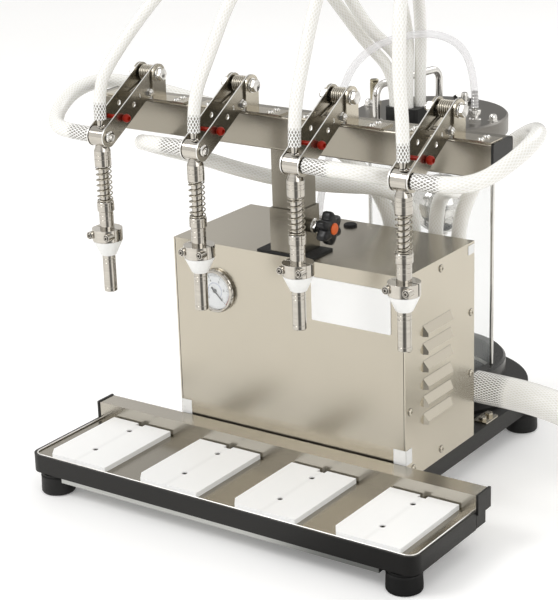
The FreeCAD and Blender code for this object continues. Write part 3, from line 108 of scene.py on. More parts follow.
# Mesh tools
class Shape:
    """A mesh made of closed forms, in millimetres."""

    def __init__(self, matrix=Matrix.Identity(4)):
        self.mesh = bmesh.new()
        self.matrix = matrix
        self.uv = self.mesh.loops.layers.uv.new("UVMap")

    def point(self, place):
        return self.mesh.verts.new(self.matrix @ Vector(place))

    def face(self, corners):
        return self.mesh.faces.new(corners)

    def patch(self, places):
        return self.face([self.point(place) for place in places])

    def block(self, low, high):
        x, y, z = zip(low, high)
        at = [self.point((x[i & 1], y[i >> 1 & 1], z[i >> 2 & 1])) for i in range(8)]
        for corners in ((0, 2, 3, 1), (4, 5, 7, 6), (0, 1, 5, 4), (2, 6, 7, 3), (0, 4, 6, 2), (1, 3, 7, 5)):
            self.face([at[i] for i in corners])
        return self

    def skin(self, first, second):
        """Faces from one ring of points to the next. Either ring may be a single point."""
        faces = []
        for k in range(max(len(first), len(second))):
            spots = ((first, k), (first, k + 1), (second, k + 1), (second, k))
            corners = dict.fromkeys(ring[step % len(ring)] for ring, step in spots)
            faces.append(self.face(list(corners)))
        return faces

    def turned(self, axis, centre, profile, sides=48, closed=False, start=0.0, way=1):
        """Revolve (radius, distance) points. The distances run along the axis from start, one way or back.

        A radius of 0 closes an end. Either value may be a function of the angle: flats, lobes, recesses.
        """
        place = axis_matrix(axis, centre)
        rings = []
        for radius, along in profile:
            if radius == 0:
                rings.append([self.point(place @ Vector((0, 0, start + way * along)))])
                continue
            ring = []
            for angle in full_turn(sides):
                size = radius(angle) if callable(radius) else radius
                depth = start + way * (along(angle) if callable(along) else along)
                spot = Vector((size * math.cos(angle), size * math.sin(angle), depth))
                ring.append(self.point(place @ spot))
            rings.append(ring)
        for first, second in zip(rings, rings[1:] + rings[:1] if closed else rings[1:]):
            self.skin(first, second)
        return self

    def rod(self, axis, centre, radius, low, high, sides=32, soft=0.3):
        """A solid round bar with softened rims."""
        soft = min(soft, radius / 3, (high - low) / 3)
        rim = radius - 0.3 * soft
        profile = [(0, low), (radius - soft, low), (rim, low + 0.3 * soft), (radius, low + soft),
                   (radius, high - soft), (rim, high - 0.3 * soft), (radius - soft, high), (0, high)]
        return self.turned(axis, centre, profile, sides)

    def ring(self, axis, centre, radius, bore, low, high, sides=48, soft=0.3):
        """A round bar with a hole, and softened rims."""
        soft = min(soft, (radius - bore) / 3, (high - low) / 3)
        profile = [(bore, low + soft), (bore + soft, low), (radius - soft, low), (radius, low + soft),
                   (radius, high - soft), (radius - soft, high), (bore + soft, high), (bore, high - soft)]
        return self.turned(axis, centre, profile, sides, closed=True)

    def hexagon(self, axis, centre, across, low, high):
        """A hexagon head or nut, chamfered round the face at high."""
        body, rim = flats(across), 0.97 * across / 2
        slope = 0.6 if high > low else -0.6

        def shoulder(angle):
            return high - slope * (body(angle) - rim)
        return self.turned(axis, centre, [(0, low), (body, low), (body, shoulder), (rim, high), (0, high)])

    def sheet(self, axis, outline, low, high, holes=()):
        """A flat sheet pushed along an axis. Points are the other two coordinates, in order."""
        edges = []
        for loop in (outline, *holes):
            ring = []
            for u, v in loop:
                ring.append(self.point({"x": (low, u, v), "y": (u, low, v), "z": (u, v, low)}[axis]))
            edges += [self.mesh.edges.new((here, there)) for here, there in zip(ring, ring[1:] + ring[:1])]
        filled = bmesh.ops.triangle_fill(self.mesh, use_beauty=True, edges=edges)["geom"]
        faces = [item for item in filled if isinstance(item, bmesh.types.BMFace)]
        grown = bmesh.ops.extrude_face_region(self.mesh, geom=faces)["geom"]
        push = Vector([high - low if letter == axis else 0.0 for letter in "xyz"])
        bmesh.ops.translate(self.mesh, vec=self.matrix.to_3x3() @ push,
                            verts=[item for item in grown if isinstance(item, bmesh.types.BMVert)])
        return self

    def letters(self, words, size, at, across, up, depth):
        """Raised characters, centred at a place, on the plane of two directions."""
        data = bpy.data.curves.new("letters", "FONT")
        data.body = words
        data.size = size
        data.extrude = depth / 2
        data.align_x, data.align_y = "CENTER", "CENTER"
        mesh = mesh_of(data)
        across, up = Vector(across).normalized(), Vector(up).normalized()
        turn = Matrix((across, up, across.cross(up))).transposed().to_4x4()
        mesh.transform(self.matrix @ Matrix.Translation(Vector(at)) @ turn)
        self.mesh.from_mesh(mesh)
        bpy.data.meshes.remove(mesh)
        return self

    def tube(self, path, radius, sides, caps=True, lap=0.0, frames=None):
        """A round tube along a path, with UV: turns round it, and metres along it from lap."""
        frames = frames or carried_frames(path)
        rings, lengths, length = [], [], 0.0
        for index, (at, across, up) in enumerate(frames):
            if index:
                length += (at - frames[index - 1][0]).length
            lengths.append(length * MM)
            rings.append([self.point(at + radius * (math.cos(turn) * across + math.sin(turn) * up))
                          for turn in full_turn(sides)])
        for index, (first, second) in enumerate(zip(rings, rings[1:])):
            for k, face in enumerate(self.skin(first, second)):
                spots = ((k, index), (k + 1, index), (k + 1, index + 1), (k, index + 1))
                for loop, (turn, step) in zip(face.loops, spots):
                    loop[self.uv].uv = (turn / sides, lengths[step] + lap)
        if caps:
            self.face(rings[0][::-1])
            self.face(rings[-1])
        return self

    def emit(self, name, material, body, slot, replaces=(), sharp=32, bevel=0.0, segments=2):
        """Turn the shape into a piece of the scene. It rides on a body, if one is named."""
        bmesh.ops.recalc_face_normals(self.mesh, faces=self.mesh.faces)
        data = bpy.data.meshes.new(name)
        self.mesh.to_mesh(data)
        self.mesh.free()
        data.transform(Matrix.Scale(MM, 4))
        piece = bpy.data.objects.new(name, data)
        bpy.context.scene.collection.objects.link(piece)
        data.materials.append(material)
        soften(piece, sharp, bevel, segments)
        if body:
            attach(piece, body)
        if replaces:
            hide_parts(*replaces)
        return piece


def soften(piece, sharp=32, bevel=0.0, segments=2):
    """Shade smooth, keep edges sharper than an angle, and bevel them."""
    data = piece.data
    data.polygons.foreach_set("use_smooth", [True] * len(data.polygons))
    work = bmesh.new()
    work.from_mesh(data)
    limit = math.radians(sharp)
    for edge in work.edges:
        edge.smooth = not (len(edge.link_faces) == 2 and edge.calc_face_angle(0) > limit)
    if piece.get("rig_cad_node") is None:
        work.to_mesh(data)
    else:
        flags = [not edge.smooth for edge in work.edges]
        attribute = data.attributes.get("sharp_edge") or data.attributes.new("sharp_edge", "BOOLEAN", "EDGE")
        attribute.data.foreach_set("value", flags)
    work.free()
    if bevel:
        rounding = piece.modifiers.new("Edges", "BEVEL")
        rounding.width = bevel * MM
        rounding.segments = segments
        rounding.limit_method = "ANGLE"
        rounding.angle_limit = limit
        rounding.harden_normals = True


def dress(node, material, bevel=0.0):
    """Give a node of the frame its material and soft edges."""
    piece = nodes[node]
    piece.data.materials.clear()
    piece.data.materials.append(material)
    soften(piece, bevel=bevel)


def mesh_of(curve):
    """The mesh that a curve or a text makes. The curve itself goes."""
    holder = bpy.data.objects.new(curve.name, curve)
    bpy.context.scene.collection.objects.link(holder)
    bpy.context.view_layer.update()
    mesh = bpy.data.meshes.new_from_object(holder)
    bpy.data.objects.remove(holder)
    bpy.data.curves.remove(curve)
    return mesh


def full_turn(steps):
    return [2 * math.pi * k / steps for k in range(steps)]


def flats(across):
    """The radius of a hexagon bar at each angle."""
    step = math.pi / 3
    return lambda angle: across / 2 / math.cos(angle % step - step / 2)


def cross(reach, half):
    """The radius of a cross recess at each angle."""
    def radius(angle):
        longer, shorter = sorted((abs(math.cos(angle)), abs(math.sin(angle))), reverse=True)
        return min(reach / longer, half / max(shorter, 1e-6))
    return radius


def circle(u, v, radius, sides):
    return [(u + radius * math.cos(angle), v + radius * math.sin(angle)) for angle in full_turn(sides)]


def rectangle(first, last, low, high):
    """The corners of a rectangle, in order. As a profile it is a plain disc or washer."""
    return (first, low), (last, low), (last, high), (first, high)


def arc(u, v, radius, start, end, steps=12):
    """Points round an arc, from one angle to another in degrees."""
    angles = [math.radians(start + (end - start) * k / steps) for k in range(steps + 1)]
    return [(u + radius * math.cos(angle), v + radius * math.sin(angle)) for angle in angles]


def rounded(low, high, radius):
    """Points round a rectangle with round corners."""
    left, right, foot, top = low[0] + radius, high[0] - radius, low[1] + radius, high[1] - radius
    points = []
    for u, v, start in ((right, top, 0), (left, top, 90), (left, foot, 180), (right, foot, 270)):
        points += arc(u, v, radius, start, start + 90, 6)
    return points


def axis_matrix(axis, centre):
    """A frame whose own Z runs along an axis. centre gives the other two coordinates, in order."""
    if axis == "z":
        return Matrix.Translation((centre[0], centre[1], 0))
    if axis == "x":
        return Matrix(((0, 0, 1, 0), (1, 0, 0, centre[0]), (0, 1, 0, centre[1]), (0, 0, 0, 1)))
    return Matrix(((0, 1, 0, centre[0]), (0, 0, 1, 0), (1, 0, 0, centre[1]), (0, 0, 0, 1)))


def carried_frames(path):
    """A place and two cross directions at each point of a path, carried along it without twist."""
    points = [Vector(point) for point in path]
    tangents = []
    for index in range(len(points)):
        first, last = points[max(index - 1, 0)], points[min(index + 1, len(points) - 1)]
        tangents.append((last - first).normalized())
    up = tangents[0].orthogonal().normalized()
    frames = []
    for point, tangent in zip(points, tangents):
        up = (up - tangent * up.dot(tangent)).normalized()
        frames.append((point, up.cross(tangent), up))
    return frames


def route_line(points):
    """The smooth line of a hose's route: a NURBS spline with the route's points as its control points."""
    data = bpy.data.curves.new("route", "CURVE")
    data.dimensions = "3D"
    spline = data.splines.new("NURBS")
    spline.points.add(len(points) - 1)
    for control, point in zip(spline.points, points):
        control.co = (*point, 1)
    spline.order_u = 3
    spline.use_endpoint_u = True
    spline.resolution_u = 10
    mesh = mesh_of(data)
    line = [vertex.co.copy() for vertex in mesh.vertices]
    bpy.data.meshes.remove(mesh)
    return line


def line_length(line):
    return sum((second - first).length for first, second in zip(line, line[1:]))


def even(line, step):
    """Points spaced evenly along a line."""
    lengths = [0.0]
    for first, second in zip(line, line[1:]):
        lengths.append(lengths[-1] + (second - first).length)
    count = max(2, round(lengths[-1] / step))
    result, index = [], 0
    for k in range(count + 1):
        target = lengths[-1] * k / count
        while index < len(line) - 2 and lengths[index + 1] < target:
            index += 1
        span = lengths[index + 1] - lengths[index]
        share = 0.0 if span < 1e-9 else (target - lengths[index]) / span
        result.append(line[index].lerp(line[index + 1], min(share, 1.0)))
    return result


# Shader tools
def new_material(name):
    material = bpy.data.materials.new(name)
    material.use_nodes = True
    return material, material.node_tree


def feed(tree, target, value):
    """Link a socket to an input, or set the input to a plain value."""
    if isinstance(value, bpy.types.NodeSocket):
        tree.links.new(value, target)
    elif target.type == "RGBA":
        target.default_value = (*value, 1)
    else:
        target.default_value = value


def add(tree, kind, **values):
    """A shader node. Each value goes to the input or to the property of its name."""
    node = tree.nodes.new("ShaderNode" + kind)
    for key, value in values.items():
        if key in node.inputs:
            feed(tree, node.inputs[key], value)
        else:
            setattr(node, key, value)
    return node


def shade(tree, values):
    """Feed the inputs of a material's main shader."""
    for name, value in values.items():
        feed(tree, tree.nodes["Principled BSDF"].inputs[name], value)


def compute(tree, operation, first, second):
    node = add(tree, "Math", operation=operation)
    feed(tree, node.inputs[0], first)
    feed(tree, node.inputs[1], second)
    return node.outputs[0]


def multiply(tree, first, second):
    mix = add(tree, "MixRGB", blend_type="MULTIPLY", Fac=1.0, Color1=first, Color2=second)
    return mix.outputs["Color"]


def between(tree, share, first, second):
    return add(tree, "MixRGB", Fac=share, Color1=first, Color2=second).outputs["Color"]


def coordinates(tree, spread=(1, 1, 1), turn=(0, 0, 0)):
    """The object's own coordinates, turned about its origin, then spread along each axis."""
    source = add(tree, "TexCoord").outputs["Object"]
    scale = [1 / size for size in spread]
    mapping = add(tree, "Mapping", vector_type="TEXTURE", Rotation=turn, Scale=scale, Vector=source)
    return mapping.outputs["Vector"]


def noise(tree, scale, detail, spread=(1, 1, 1), turn=(0, 0, 0), roughness=0.5):
    place = coordinates(tree, spread, turn)
    node = add(tree, "TexNoise", Scale=scale, Detail=detail, Roughness=roughness, Vector=place)
    return node.outputs["Fac"]


def ramp(tree, factor, stops):
    node = add(tree, "ValToRGB", Fac=factor)
    elements = node.color_ramp.elements
    while len(elements) < len(stops):
        elements.new(0.5)
    for element, (position, color) in zip(elements, stops):
        element.position = position
        element.color = (*color, 1)
    return node.outputs["Color"]


def bump(tree, height, strength, distance):
    return add(tree, "Bump", Strength=strength, Distance=distance, Height=height).outputs["Normal"]


def grey(value):
    return (value, value, value)


def tone(color, factor):
    return tuple(channel * factor for channel in color)


# Materials
GRIND_LONG, GRIND_FINE = 9, 2600


def brushed(name, color, along, rough, grain, turn=(0, 0, 0)):
    """Stainless sheet, ground in one direction, with faint broad clouding and fine scratches."""
    material, tree = new_material(name)
    spread = [GRIND_LONG if letter == along else GRIND_FINE for letter in "xyz"]
    scratches = noise(tree, 1.0, 2.0, spread, turn)
    streaks = ramp(tree, scratches, [(0.3, tone(color, 1 - 0.04 * grain)), (0.7, tone(color, 1.01))])
    clouding = ramp(tree, noise(tree, 6.0, 3.0), [(0.35, grey(0.95)), (0.65, grey(1.0))])
    shade(tree, {"Metallic": 1.0, "Base Color": multiply(tree, streaks, clouding),
                 "Roughness": ramp(tree, scratches, [(0.3, grey(rough * 0.99)), (0.7, grey(rough * 1.01))]),
                 "Normal": bump(tree, scratches, 0.002 * grain, 0.0001)})
    return material


def polished(name, color, rough, marks=0.0):
    """Drawn or turned steel with finger clouding. marks gives turning rings round an upright piece."""
    material, tree = new_material(name)
    cloud = noise(tree, 60.0, 4.0, (1, 1, 6))
    surface = ramp(tree, cloud, [(0.3, tone(color, 0.92)), (0.7, color)])
    if marks:
        rings = noise(tree, 1.0, 5.0, (8, 8, 1500), roughness=0.7)
        surface = multiply(tree, surface, ramp(tree, rings, [(0.32, grey(1 - marks)), (0.6, grey(1.0))]))
        shade(tree, {"Normal": bump(tree, rings, 0.35 * marks, 0.0001)})
    shade(tree, {"Metallic": 1.0, "Base Color": surface,
                 "Roughness": ramp(tree, cloud, [(0.3, grey(rough * 0.92)), (0.75, grey(rough * 1.1))])})
    return material


def moulded(name, color, rough, grain, scale, variation=0.08, shine=0.5):
    """Moulded plastic, rubber or powder coat: fine grain in the surface and a slight change of tone."""
    material, tree = new_material(name)
    speckle, patches = noise(tree, scale, 3.0), noise(tree, 9.0, 4.0)
    dull, light = tone(color, 1 - variation), tone(color, 1 + variation)
    smooth, matt = grey(rough * 0.85), grey(min(1, rough * 1.15))
    shade(tree, {"Base Color": ramp(tree, patches, [(0.3, dull), (0.7, light)]),
                 "Roughness": ramp(tree, speckle, [(0.3, smooth), (0.7, matt)]),
                 "Normal": bump(tree, speckle, grain, 0.0002), "Specular IOR Level": shine})
    return material


def clear(name, color, rough, alpha):
    """Glass or clear vinyl with faint smears."""
    material, tree = new_material(name)
    smears = noise(tree, 20.0, 4.0, (1, 1, 0.4))
    shade(tree, {"Base Color": ramp(tree, smears, [(0.35, tone(color, 0.97)), (0.65, color)]),
                 "Roughness": ramp(tree, smears, [(0.35, grey(rough)), (0.75, grey(rough * 2.5))]),
                 "Alpha": alpha, "IOR": 1.45})
    return material


HOSE_LIGHT, HOSE_THREAD, HOSE_DARK = (0.84, 0.825, 0.765), (0.96, 0.955, 0.93), (0.20, 0.187, 0.165)


def braided(name, threads, pitch, spigot, painted_glow=0.0):
    """Clear hose with a white braid inside: two families of threads wound opposite ways.

    The metal spigot inside its first stretch shows as dark diamonds between the threads. painted_glow is
    emission: painted light that stands in for light shining through a hose wide enough for it.
    """
    material, tree = new_material(name)
    split = add(tree, "SeparateXYZ", Vector=add(tree, "TexCoord").outputs["UV"])
    turns = compute(tree, "MULTIPLY", split.outputs["X"], threads)
    along = compute(tree, "MULTIPLY", split.outputs["Y"], 1 / pitch)
    families = [compute(tree, "PINGPONG", compute(tree, operation, turns, along), 0.5)
                for operation in ("ADD", "SUBTRACT")]
    mask = ramp(tree, compute(tree, "MINIMUM", *families), [(0.13, grey(1.0)), (0.19, grey(0.0))])
    inside = compute(tree, "MULTIPLY", split.outputs["Y"], 0.5 / spigot)
    wall = ramp(tree, inside, [(0.40, HOSE_DARK), (0.52, HOSE_LIGHT)])
    color = between(tree, mask, wall, HOSE_THREAD)
    shade(tree, {"Base Color": color, "Emission Color": color, "Emission Strength": painted_glow,
                 "Normal": bump(tree, mask, 0.2, 0.0003), "Roughness": 0.22,
                 "Coat Weight": 0.3, "Coat Roughness": 0.1})
    return material


STEEL = (0.50, 0.465, 0.395)
BRIGHT = (0.62, 0.59, 0.54)
# One stainless in several tones: the lighter side sheet and the darker mast, beam and arm plates are painted
# light and shade for how light falls on each part.
front_steel = brushed("front_steel", tone(STEEL, 1.06), "x", 0.27, 0.3)
side_steel_lit = brushed("side_steel_lit", tone(STEEL, 1.16), "z", 0.25, 0.3)
tray_steel = brushed("tray_steel", (0.49, 0.462, 0.405), "x", 0.25, 0.3)
floor_steel = brushed("floor_steel", (0.33, 0.308, 0.265), "x", 0.22, 0.2)
mast_steel_shaded = brushed("mast_steel_shaded", tone(STEEL, 0.56), "z", 0.26, 0.7)
beam_steel_shaded = brushed("beam_steel_shaded", tone(STEEL, 0.66), "x", 0.24, 0.7)
bright_sheet = brushed("bright_sheet", tone(STEEL, 1.15), "x", 0.22, 0.6)
arm_steel = brushed("arm_steel", tone(STEEL, 0.86), "y", 0.25, 0.6, turn=(DROOP, 0, 0))
satin_aluminium = brushed("satin_aluminium", (0.50, 0.51, 0.50), "x", 0.36, 0.4)
turned_steel = polished("turned_steel", tone(BRIGHT, 0.95), 0.10, marks=0.2)
drawn_steel = polished("drawn_steel", tone(BRIGHT, 0.94), 0.11, marks=0.2)
collar_steel = polished("collar_steel", tone(BRIGHT, 0.96), 0.12, marks=0.1)
# Bright steel for painted highlights along sheet edges.
edge_highlight_steel = polished("edge_highlight_steel", (0.90, 0.89, 0.87), 0.35)
lid_steel = polished("lid_steel", (0.21, 0.20, 0.185), 0.32)
dark_steel = polished("dark_steel", tone(BRIGHT, 0.35), 0.25)
screw_steel = polished("screw_steel", tone(BRIGHT, 0.60), 0.16)
aged_steel = polished("aged_steel", (0.36, 0.33, 0.24), 0.25)
chrome = polished("chrome", (0.74, 0.73, 0.71), 0.10)
spring_wire = polished("spring_wire", (0.46, 0.43, 0.37), 0.2)
powder_coat = moulded("powder_coat", (0.013, 0.0125, 0.012), 0.42, 0.3, 900, shine=0.30)
foot_rubber = moulded("foot_rubber", (0.009, 0.009, 0.009), 0.5, 0.6, 260, shine=0.30)
cup_plastic = moulded("cup_plastic", (0.014, 0.0135, 0.013), 0.3, 0.05, 700, shine=0.4)
black_rubber = moulded("black_rubber", (0.014, 0.014, 0.014), 0.6, 0.3, 500, shine=0.3)
black_plastic = moulded("black_plastic", (0.013, 0.013, 0.013), 0.36, 0.12, 600, shine=0.35)
knob_plastic = moulded("knob_plastic", (0.010, 0.010, 0.011), 0.30, 0.15, 500, shine=0.35)
white_sheet = moulded("white_sheet", (0.93, 0.93, 0.92), 0.38, 0.08, 400, 0.01)
white_mark = moulded("white_mark", (0.75, 0.75, 0.72), 0.5, 0.05, 400)
film_white = moulded("film_white", (0.82, 0.82, 0.81), 0.3, 0.5, 120, 0.08)
white_cone = moulded("white_cone", (0.94, 0.94, 0.92), 0.32, 0.05, 500, 0.01)
rest_white = moulded("rest_white", (0.965, 0.965, 0.955), 0.36, 0.07, 350, 0.008)
red_pin = moulded("red_pin", (0.30, 0.012, 0.003), 0.3, 0.05, 500, 0.15, shine=0.2)
orange_cap = moulded("orange_cap", (0.80, 0.13, 0.015), 0.32, 0.05, 500)
pump_paint = moulded("pump_paint", (0.10, 0.12, 0.15), 0.45, 0.3, 300)
dial_face = moulded("dial_face", (0.82, 0.83, 0.84), 0.5, 0.03, 300, 0.01)
dial_blue = moulded("dial_blue", (0.05, 0.10, 0.32), 0.5, 0.02, 300)
dial_ink = moulded("dial_ink", (0.012, 0.012, 0.012), 0.5, 0.02, 300)
seal_rubber = moulded("seal_rubber", (0.55, 0.55, 0.52), 0.5, 0.1, 400)
small_braid = braided("small_braid", 12, 0.0064, 0.020)
feed_braid = braided("feed_braid", 15, 0.0066, 0.032)
big_braid = braided("big_braid", 38, 0.0068, 0.045, 0.10)
clear_vinyl = clear("clear_vinyl", (0.90, 0.89, 0.91), 0.08, 0.36)
glass = clear("vessel_glass", (0.93, 0.96, 0.95), 0.02, 0.10)
lens = clear("gauge_lens", (0.95, 0.97, 0.97), 0.01, 0.12)

REST_LOW, REST_HIGH = box("bottle_rests")
REST_WIDTH = 87.0
REST_PITCH = (REST_HIGH.x - REST_LOW.x - REST_WIDTH) / 3
REST_FIRST = REST_LOW.x + REST_WIDTH / 2
GROOVE_SHADE_REACH = 4.5


def stripe_rests():
    """Painted shade of the shallow groove that runs back along the middle of each white rest: darker towards
    its line.
    """
    tree = rest_white.node_tree
    across = add(tree, "SeparateXYZ", Vector=coordinates(tree)).outputs["X"]
    shift = compute(tree, "SUBTRACT", across, (REST_FIRST - 4 * REST_PITCH) * MM)
    fold = compute(tree, "PINGPONG", shift, REST_PITCH * MM / 2)
    near = compute(tree, "MULTIPLY", fold, 1 / (GROOVE_SHADE_REACH * MM))
    groove_shade = ramp(tree, near, [(0.0, grey(0.94)), (1.0, grey(1.0))])
    plain = tree.nodes["Principled BSDF"].inputs["Base Color"].links[0].from_socket
    shade(tree, {"Base Color": multiply(tree, plain, groove_shade)})


stripe_rests()


def camera_setup():
    azimuth, elevation, roll = (math.radians(value) for value in (AZIMUTH, ELEVATION, ROLL))
    back = Vector((math.sin(azimuth) * math.cos(elevation), -math.cos(azimuth) * math.cos(elevation),
                   math.sin(elevation)))
    level = Vector((math.cos(azimuth), math.sin(azimuth), 0))
    steep = back.cross(level)
    right = math.cos(roll) * level + math.sin(roll) * steep
    up = -math.sin(roll) * level + math.cos(roll) * steep
    data = bpy.data.cameras.new("Camera")
    data.lens = LENS
    data.sensor_width = SENSOR
    data.shift_x, data.shift_y = SHIFT_X, SHIFT_Y
    data.clip_end = 60.0
    camera = bpy.data.objects.new("Camera", data)
    bpy.context.scene.collection.objects.link(camera)
    turn = Matrix((right, up, back)).transposed().to_4x4()
    camera.matrix_world = Matrix.Translation(Vector(CAMERA_AT) * MM) @ turn
    bpy.context.scene.camera = camera


camera_setup()

# Hoses
# The points of a route are x, depth behind the mast's axis, and height.
MAST_Y = -100.0
INLET_RADIUS, COIL_RADIUS = 19.0, 196.0
COIL_AT = (500.0, 248.0)
COIL_START, COIL_TURN, COIL_STEP = -90.0, 300.0, 15.0
INLET_STEP, INLET_SIDES = 6.0, 40
INLET_POINTS = [(150, 152, 101), (188, 152, 101), (226, 152, 100), (268, 152, 94), (310, 152, 81),
                (372, 152, 49.5), (414, 152, 32), (450, 152, 22.5), (478, 152, 19)]


def behind(points):
    return [Vector((x, MAST_Y + depth, z)) for x, depth, z in points]


def coil_point(angle, radius):
    x, y = COIL_AT
    return Vector((x + radius * math.cos(angle), y + radius * math.sin(angle), INLET_RADIUS))


def inlet_hose():
    """The large hose, which ends in a loose coil on the floor and a coupling."""
    points = behind(INLET_POINTS)
    steps = round(COIL_TURN / COIL_STEP)
    swell = 1 / math.cos(math.radians(COIL_TURN / steps / 2))
    for k in range(steps):
        angle = math.radians(COIL_START + COIL_TURN * (k + 0.5) / steps)
        points.append(coil_point(angle, COIL_RADIUS * swell))
    end = math.radians(COIL_START + COIL_TURN)
    points.append(coil_point(end, COIL_RADIUS))
    line = even(route_line(points), INLET_STEP)
    hose = Shape().tube(line, INLET_RADIUS, INLET_SIDES)
    hose = hose.emit("inlet_hose_braided", big_braid, "base", "braided_hose", ("inlet_hose", "inlet_coil"))
    tangent = Vector((-math.sin(end), math.cos(end), 0)).to_track_quat("Z", "Y").to_matrix().to_4x4()
    fitting = Shape(Matrix.Translation(points[-1]) @ tangent)
    profile = [(0, 0.4), (17.8, 0.4), (18.6, 1.2)]
    for groove in (13, 27):
        profile += [(18.6, groove - 1), (17.6, groove), (18.6, groove + 1)]
    profile += [(18.6, 39), (17.8, 40), (16.6, 40.4), (16.6, 57), (18.0, 58), (18.8, 59), (18.8, 68),
                (18.0, 69.6), (14.5, 69.6), (13.8, 60), (0, 60)]
    fitting.turned("z", (0, 0), profile)
    end_piece = fitting.emit("inlet_coupling", turned_steel, "base", "polished_steel", ("inlet_fitting",))


inlet_hose()

FEED_RADIUS, RETURN_RADIUS, CLEAR_RADIUS = 8.75, 7.0, 4.5
SPIGOT_END, FEED_START = 22.7, 12.6
FEED_LEAD, BARB_LEAD = 30.0, 28.0
PIPE_TOP, RETURN_START, RETURN_LEAD, PORT_LEAD = 24.0, 19.0, 30.0, 40.0
OUTLET_TOP = 270.0
BARBS = (35.0, 65.0, 95.0, 125.0)
MANIFOLD_DEPTH = 152.0
PORT_CENTRE, PORT_TOP = (18.0, 219.0), 413.0
PORTS = ((-13, -7), (-6, 9), (5, -8), (13, 8))
FEED_CUTS, RETURN_CUTS = (0.12, 0.5), (0.1, 0.45)
HOSE_STEP, HOSE_SIDES = 3.0, 24
FEED_ROUTES = {
    1: [(-272, -86, 424), (-294, -54, 433), (-302, -14, 447), (-292, 26, 453), (-252, 52, 444),
        (-190, 66, 431), (-112, 72, 416), (-44, 84, 402), (8, 118, 370)],
    2: [(-140, -92, 419), (-160, -66, 411), (-160, -28, 395), (-140, 12, 378), (-104, 42, 360),
        (-52, 70, 346), (0, 92, 342), (42, 118, 340), (61, 140, 322)],
    3: [(156, -95, 421), (174, -66, 412), (187, -30, 400), (190, 18, 383), (170, 68, 364), (134, 114, 350),
        (106, 142, 328)],
    4: [(284, -86, 427), (300, -54, 441), (304, -14, 453), (292, 26, 457), (260, 58, 443), (212, 92, 410),
        (162, 124, 362)],
}
RETURN_ROUTES = {
    1: [(-182, -88, 506), (-160, -52, 556), (-130, -4, 612), (-92, 52, 636), (-60, 108, 606), (-36, 148, 546),
        (-18, 184, 492)],
    2: [(-54, -76, 520), (-45, -42, 584), (-32, 6, 630), (-22, 62, 640), (-14, 116, 584), (-4, 166, 514),
        (6, 204, 484)],
    3: [(68, -76, 524), (61, -36, 588), (52, 16, 634), (42, 74, 642), (33, 134, 612), (25, 188, 560),
        (21, 218, 500)],
    4: [(196, -96, 530), (188, -78, 600), (166, -30, 644), (132, 40, 650), (96, 104, 622), (64, 166, 568),
        (38, 218, 506)],
}
CLEAR_ROUTE = [(-31, 119, 362), (-23, 127, 420), (-12, 139, 472), (14, 165, 500), (56, 207, 508),
               (84, 236, 490)]
CLEAR_START, CLEAR_END = (-40, 110, 291), (95, 245.5, 414)
CLEAR_START_LEAD, CLEAR_END_LEAD = 20, 34


def hinged_hose(name, node, points, radius, material, shares):
    """A hose from a head to the base, in three stretches."""
    line = even(route_line(points), HOSE_STEP)
    frames = carried_frames(line)
    cuts = [round(share * (len(line) - 1)) for share in (0.0, *shares, 1.0)]
    lap = 0.0
    for index, (low, high) in enumerate(zip(cuts, cuts[1:])):
        stretch = line[low:high + 1]
        shape = Shape().tube(stretch, radius, HOSE_SIDES, caps=False, lap=lap, frames=frames[low:high + 1])
        lap += line_length(stretch) * MM
        piece = shape.emit("%s_%d" % (name, index + 1), material, None, "braided_hose", (node,))
        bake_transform(piece)


def spout_hoses(i):
    head = HEADS[i]
    side = -1 if i < 3 else 1
    start = head + Vector((side * FEED_START, 0, 0))
    lead = head + Vector((side * (SPIGOT_END + FEED_LEAD), 0, 0))
    barb = Vector((BARBS[i - 1], MAST_Y + MANIFOLD_DEPTH, OUTLET_TOP))
    points = [start, lead, *behind(FEED_ROUTES[i]), barb + Vector((0, 0, BARB_LEAD)), barb]
    hinged_hose("feed_hose_%d" % i, "feed_hoses", points, FEED_RADIUS, feed_braid, FEED_CUTS)
    start = head + Vector((0, 0, RETURN_START))
    lead = head + Vector((0, 0, PIPE_TOP + RETURN_LEAD))
    aside, back = PORTS[i - 1]
    port = Vector((PORT_CENTRE[0] + aside, MAST_Y + PORT_CENTRE[1] + back, PORT_TOP))
    points = [start, lead, *behind(RETURN_ROUTES[i]), port + Vector((0, 0, PORT_LEAD)), port]
    hinged_hose("return_hose_%d" % i, "return_hoses", points, RETURN_RADIUS, small_braid, RETURN_CUTS)


def clear_hose():
    start, end = behind((CLEAR_START, CLEAR_END))
    points = [start, start + Vector((0, 0, CLEAR_START_LEAD)), *behind(CLEAR_ROUTE),
              end + Vector((0, 0, CLEAR_END_LEAD)), end]
    hose = Shape().tube(even(route_line(points), HOSE_STEP), CLEAR_RADIUS, HOSE_SIDES, caps=False)
    hose.emit("vacuum_hose_clear", clear_vinyl, "base", "clear_hose", ("vacuum_hose",))


for station in STATIONS:
    spout_hoses(station)
clear_hose()


# Frame, tray and housing
FOOT_RADIUS, FOOT_HEIGHT, BAR_CENTRE = 19.0, 25.2, 146.0
HOUSING_LOW, HOUSING_HIGH = box("housing_shell")
PANEL_SHEET = 1.5
PANEL_FACE = HOUSING_HIGH.x + PANEL_SHEET
PANEL_SCREWS = ((16.0, 11.5), (79.0, 11.5), (10.0, 81.7), (148.0, 81.7), (10.0, 157.0), (148.0, 157.0),
                (79.0, 230.0))
REST_SCREW_Y = (MAST_Y - 142.0, MAST_Y - 79.0)
REST_SCREW_SUNK = 1.0
LOUVRE_FEET = [208.0 - 21.0 * step for step in range(6)]
LOUVRE_Y, LOUVRE_STAND, LOUVRE_HEIGHT = (-84.0, -23.0), 5.5, 13.0
LIP_INSET, LIP_HEIGHT = 2.5, 4.0
CREASE_THICK, CREASE_SIDE, CREASE_FOOT, CREASE_HEAD = 0.12, 0.8, 0.2, 0.7
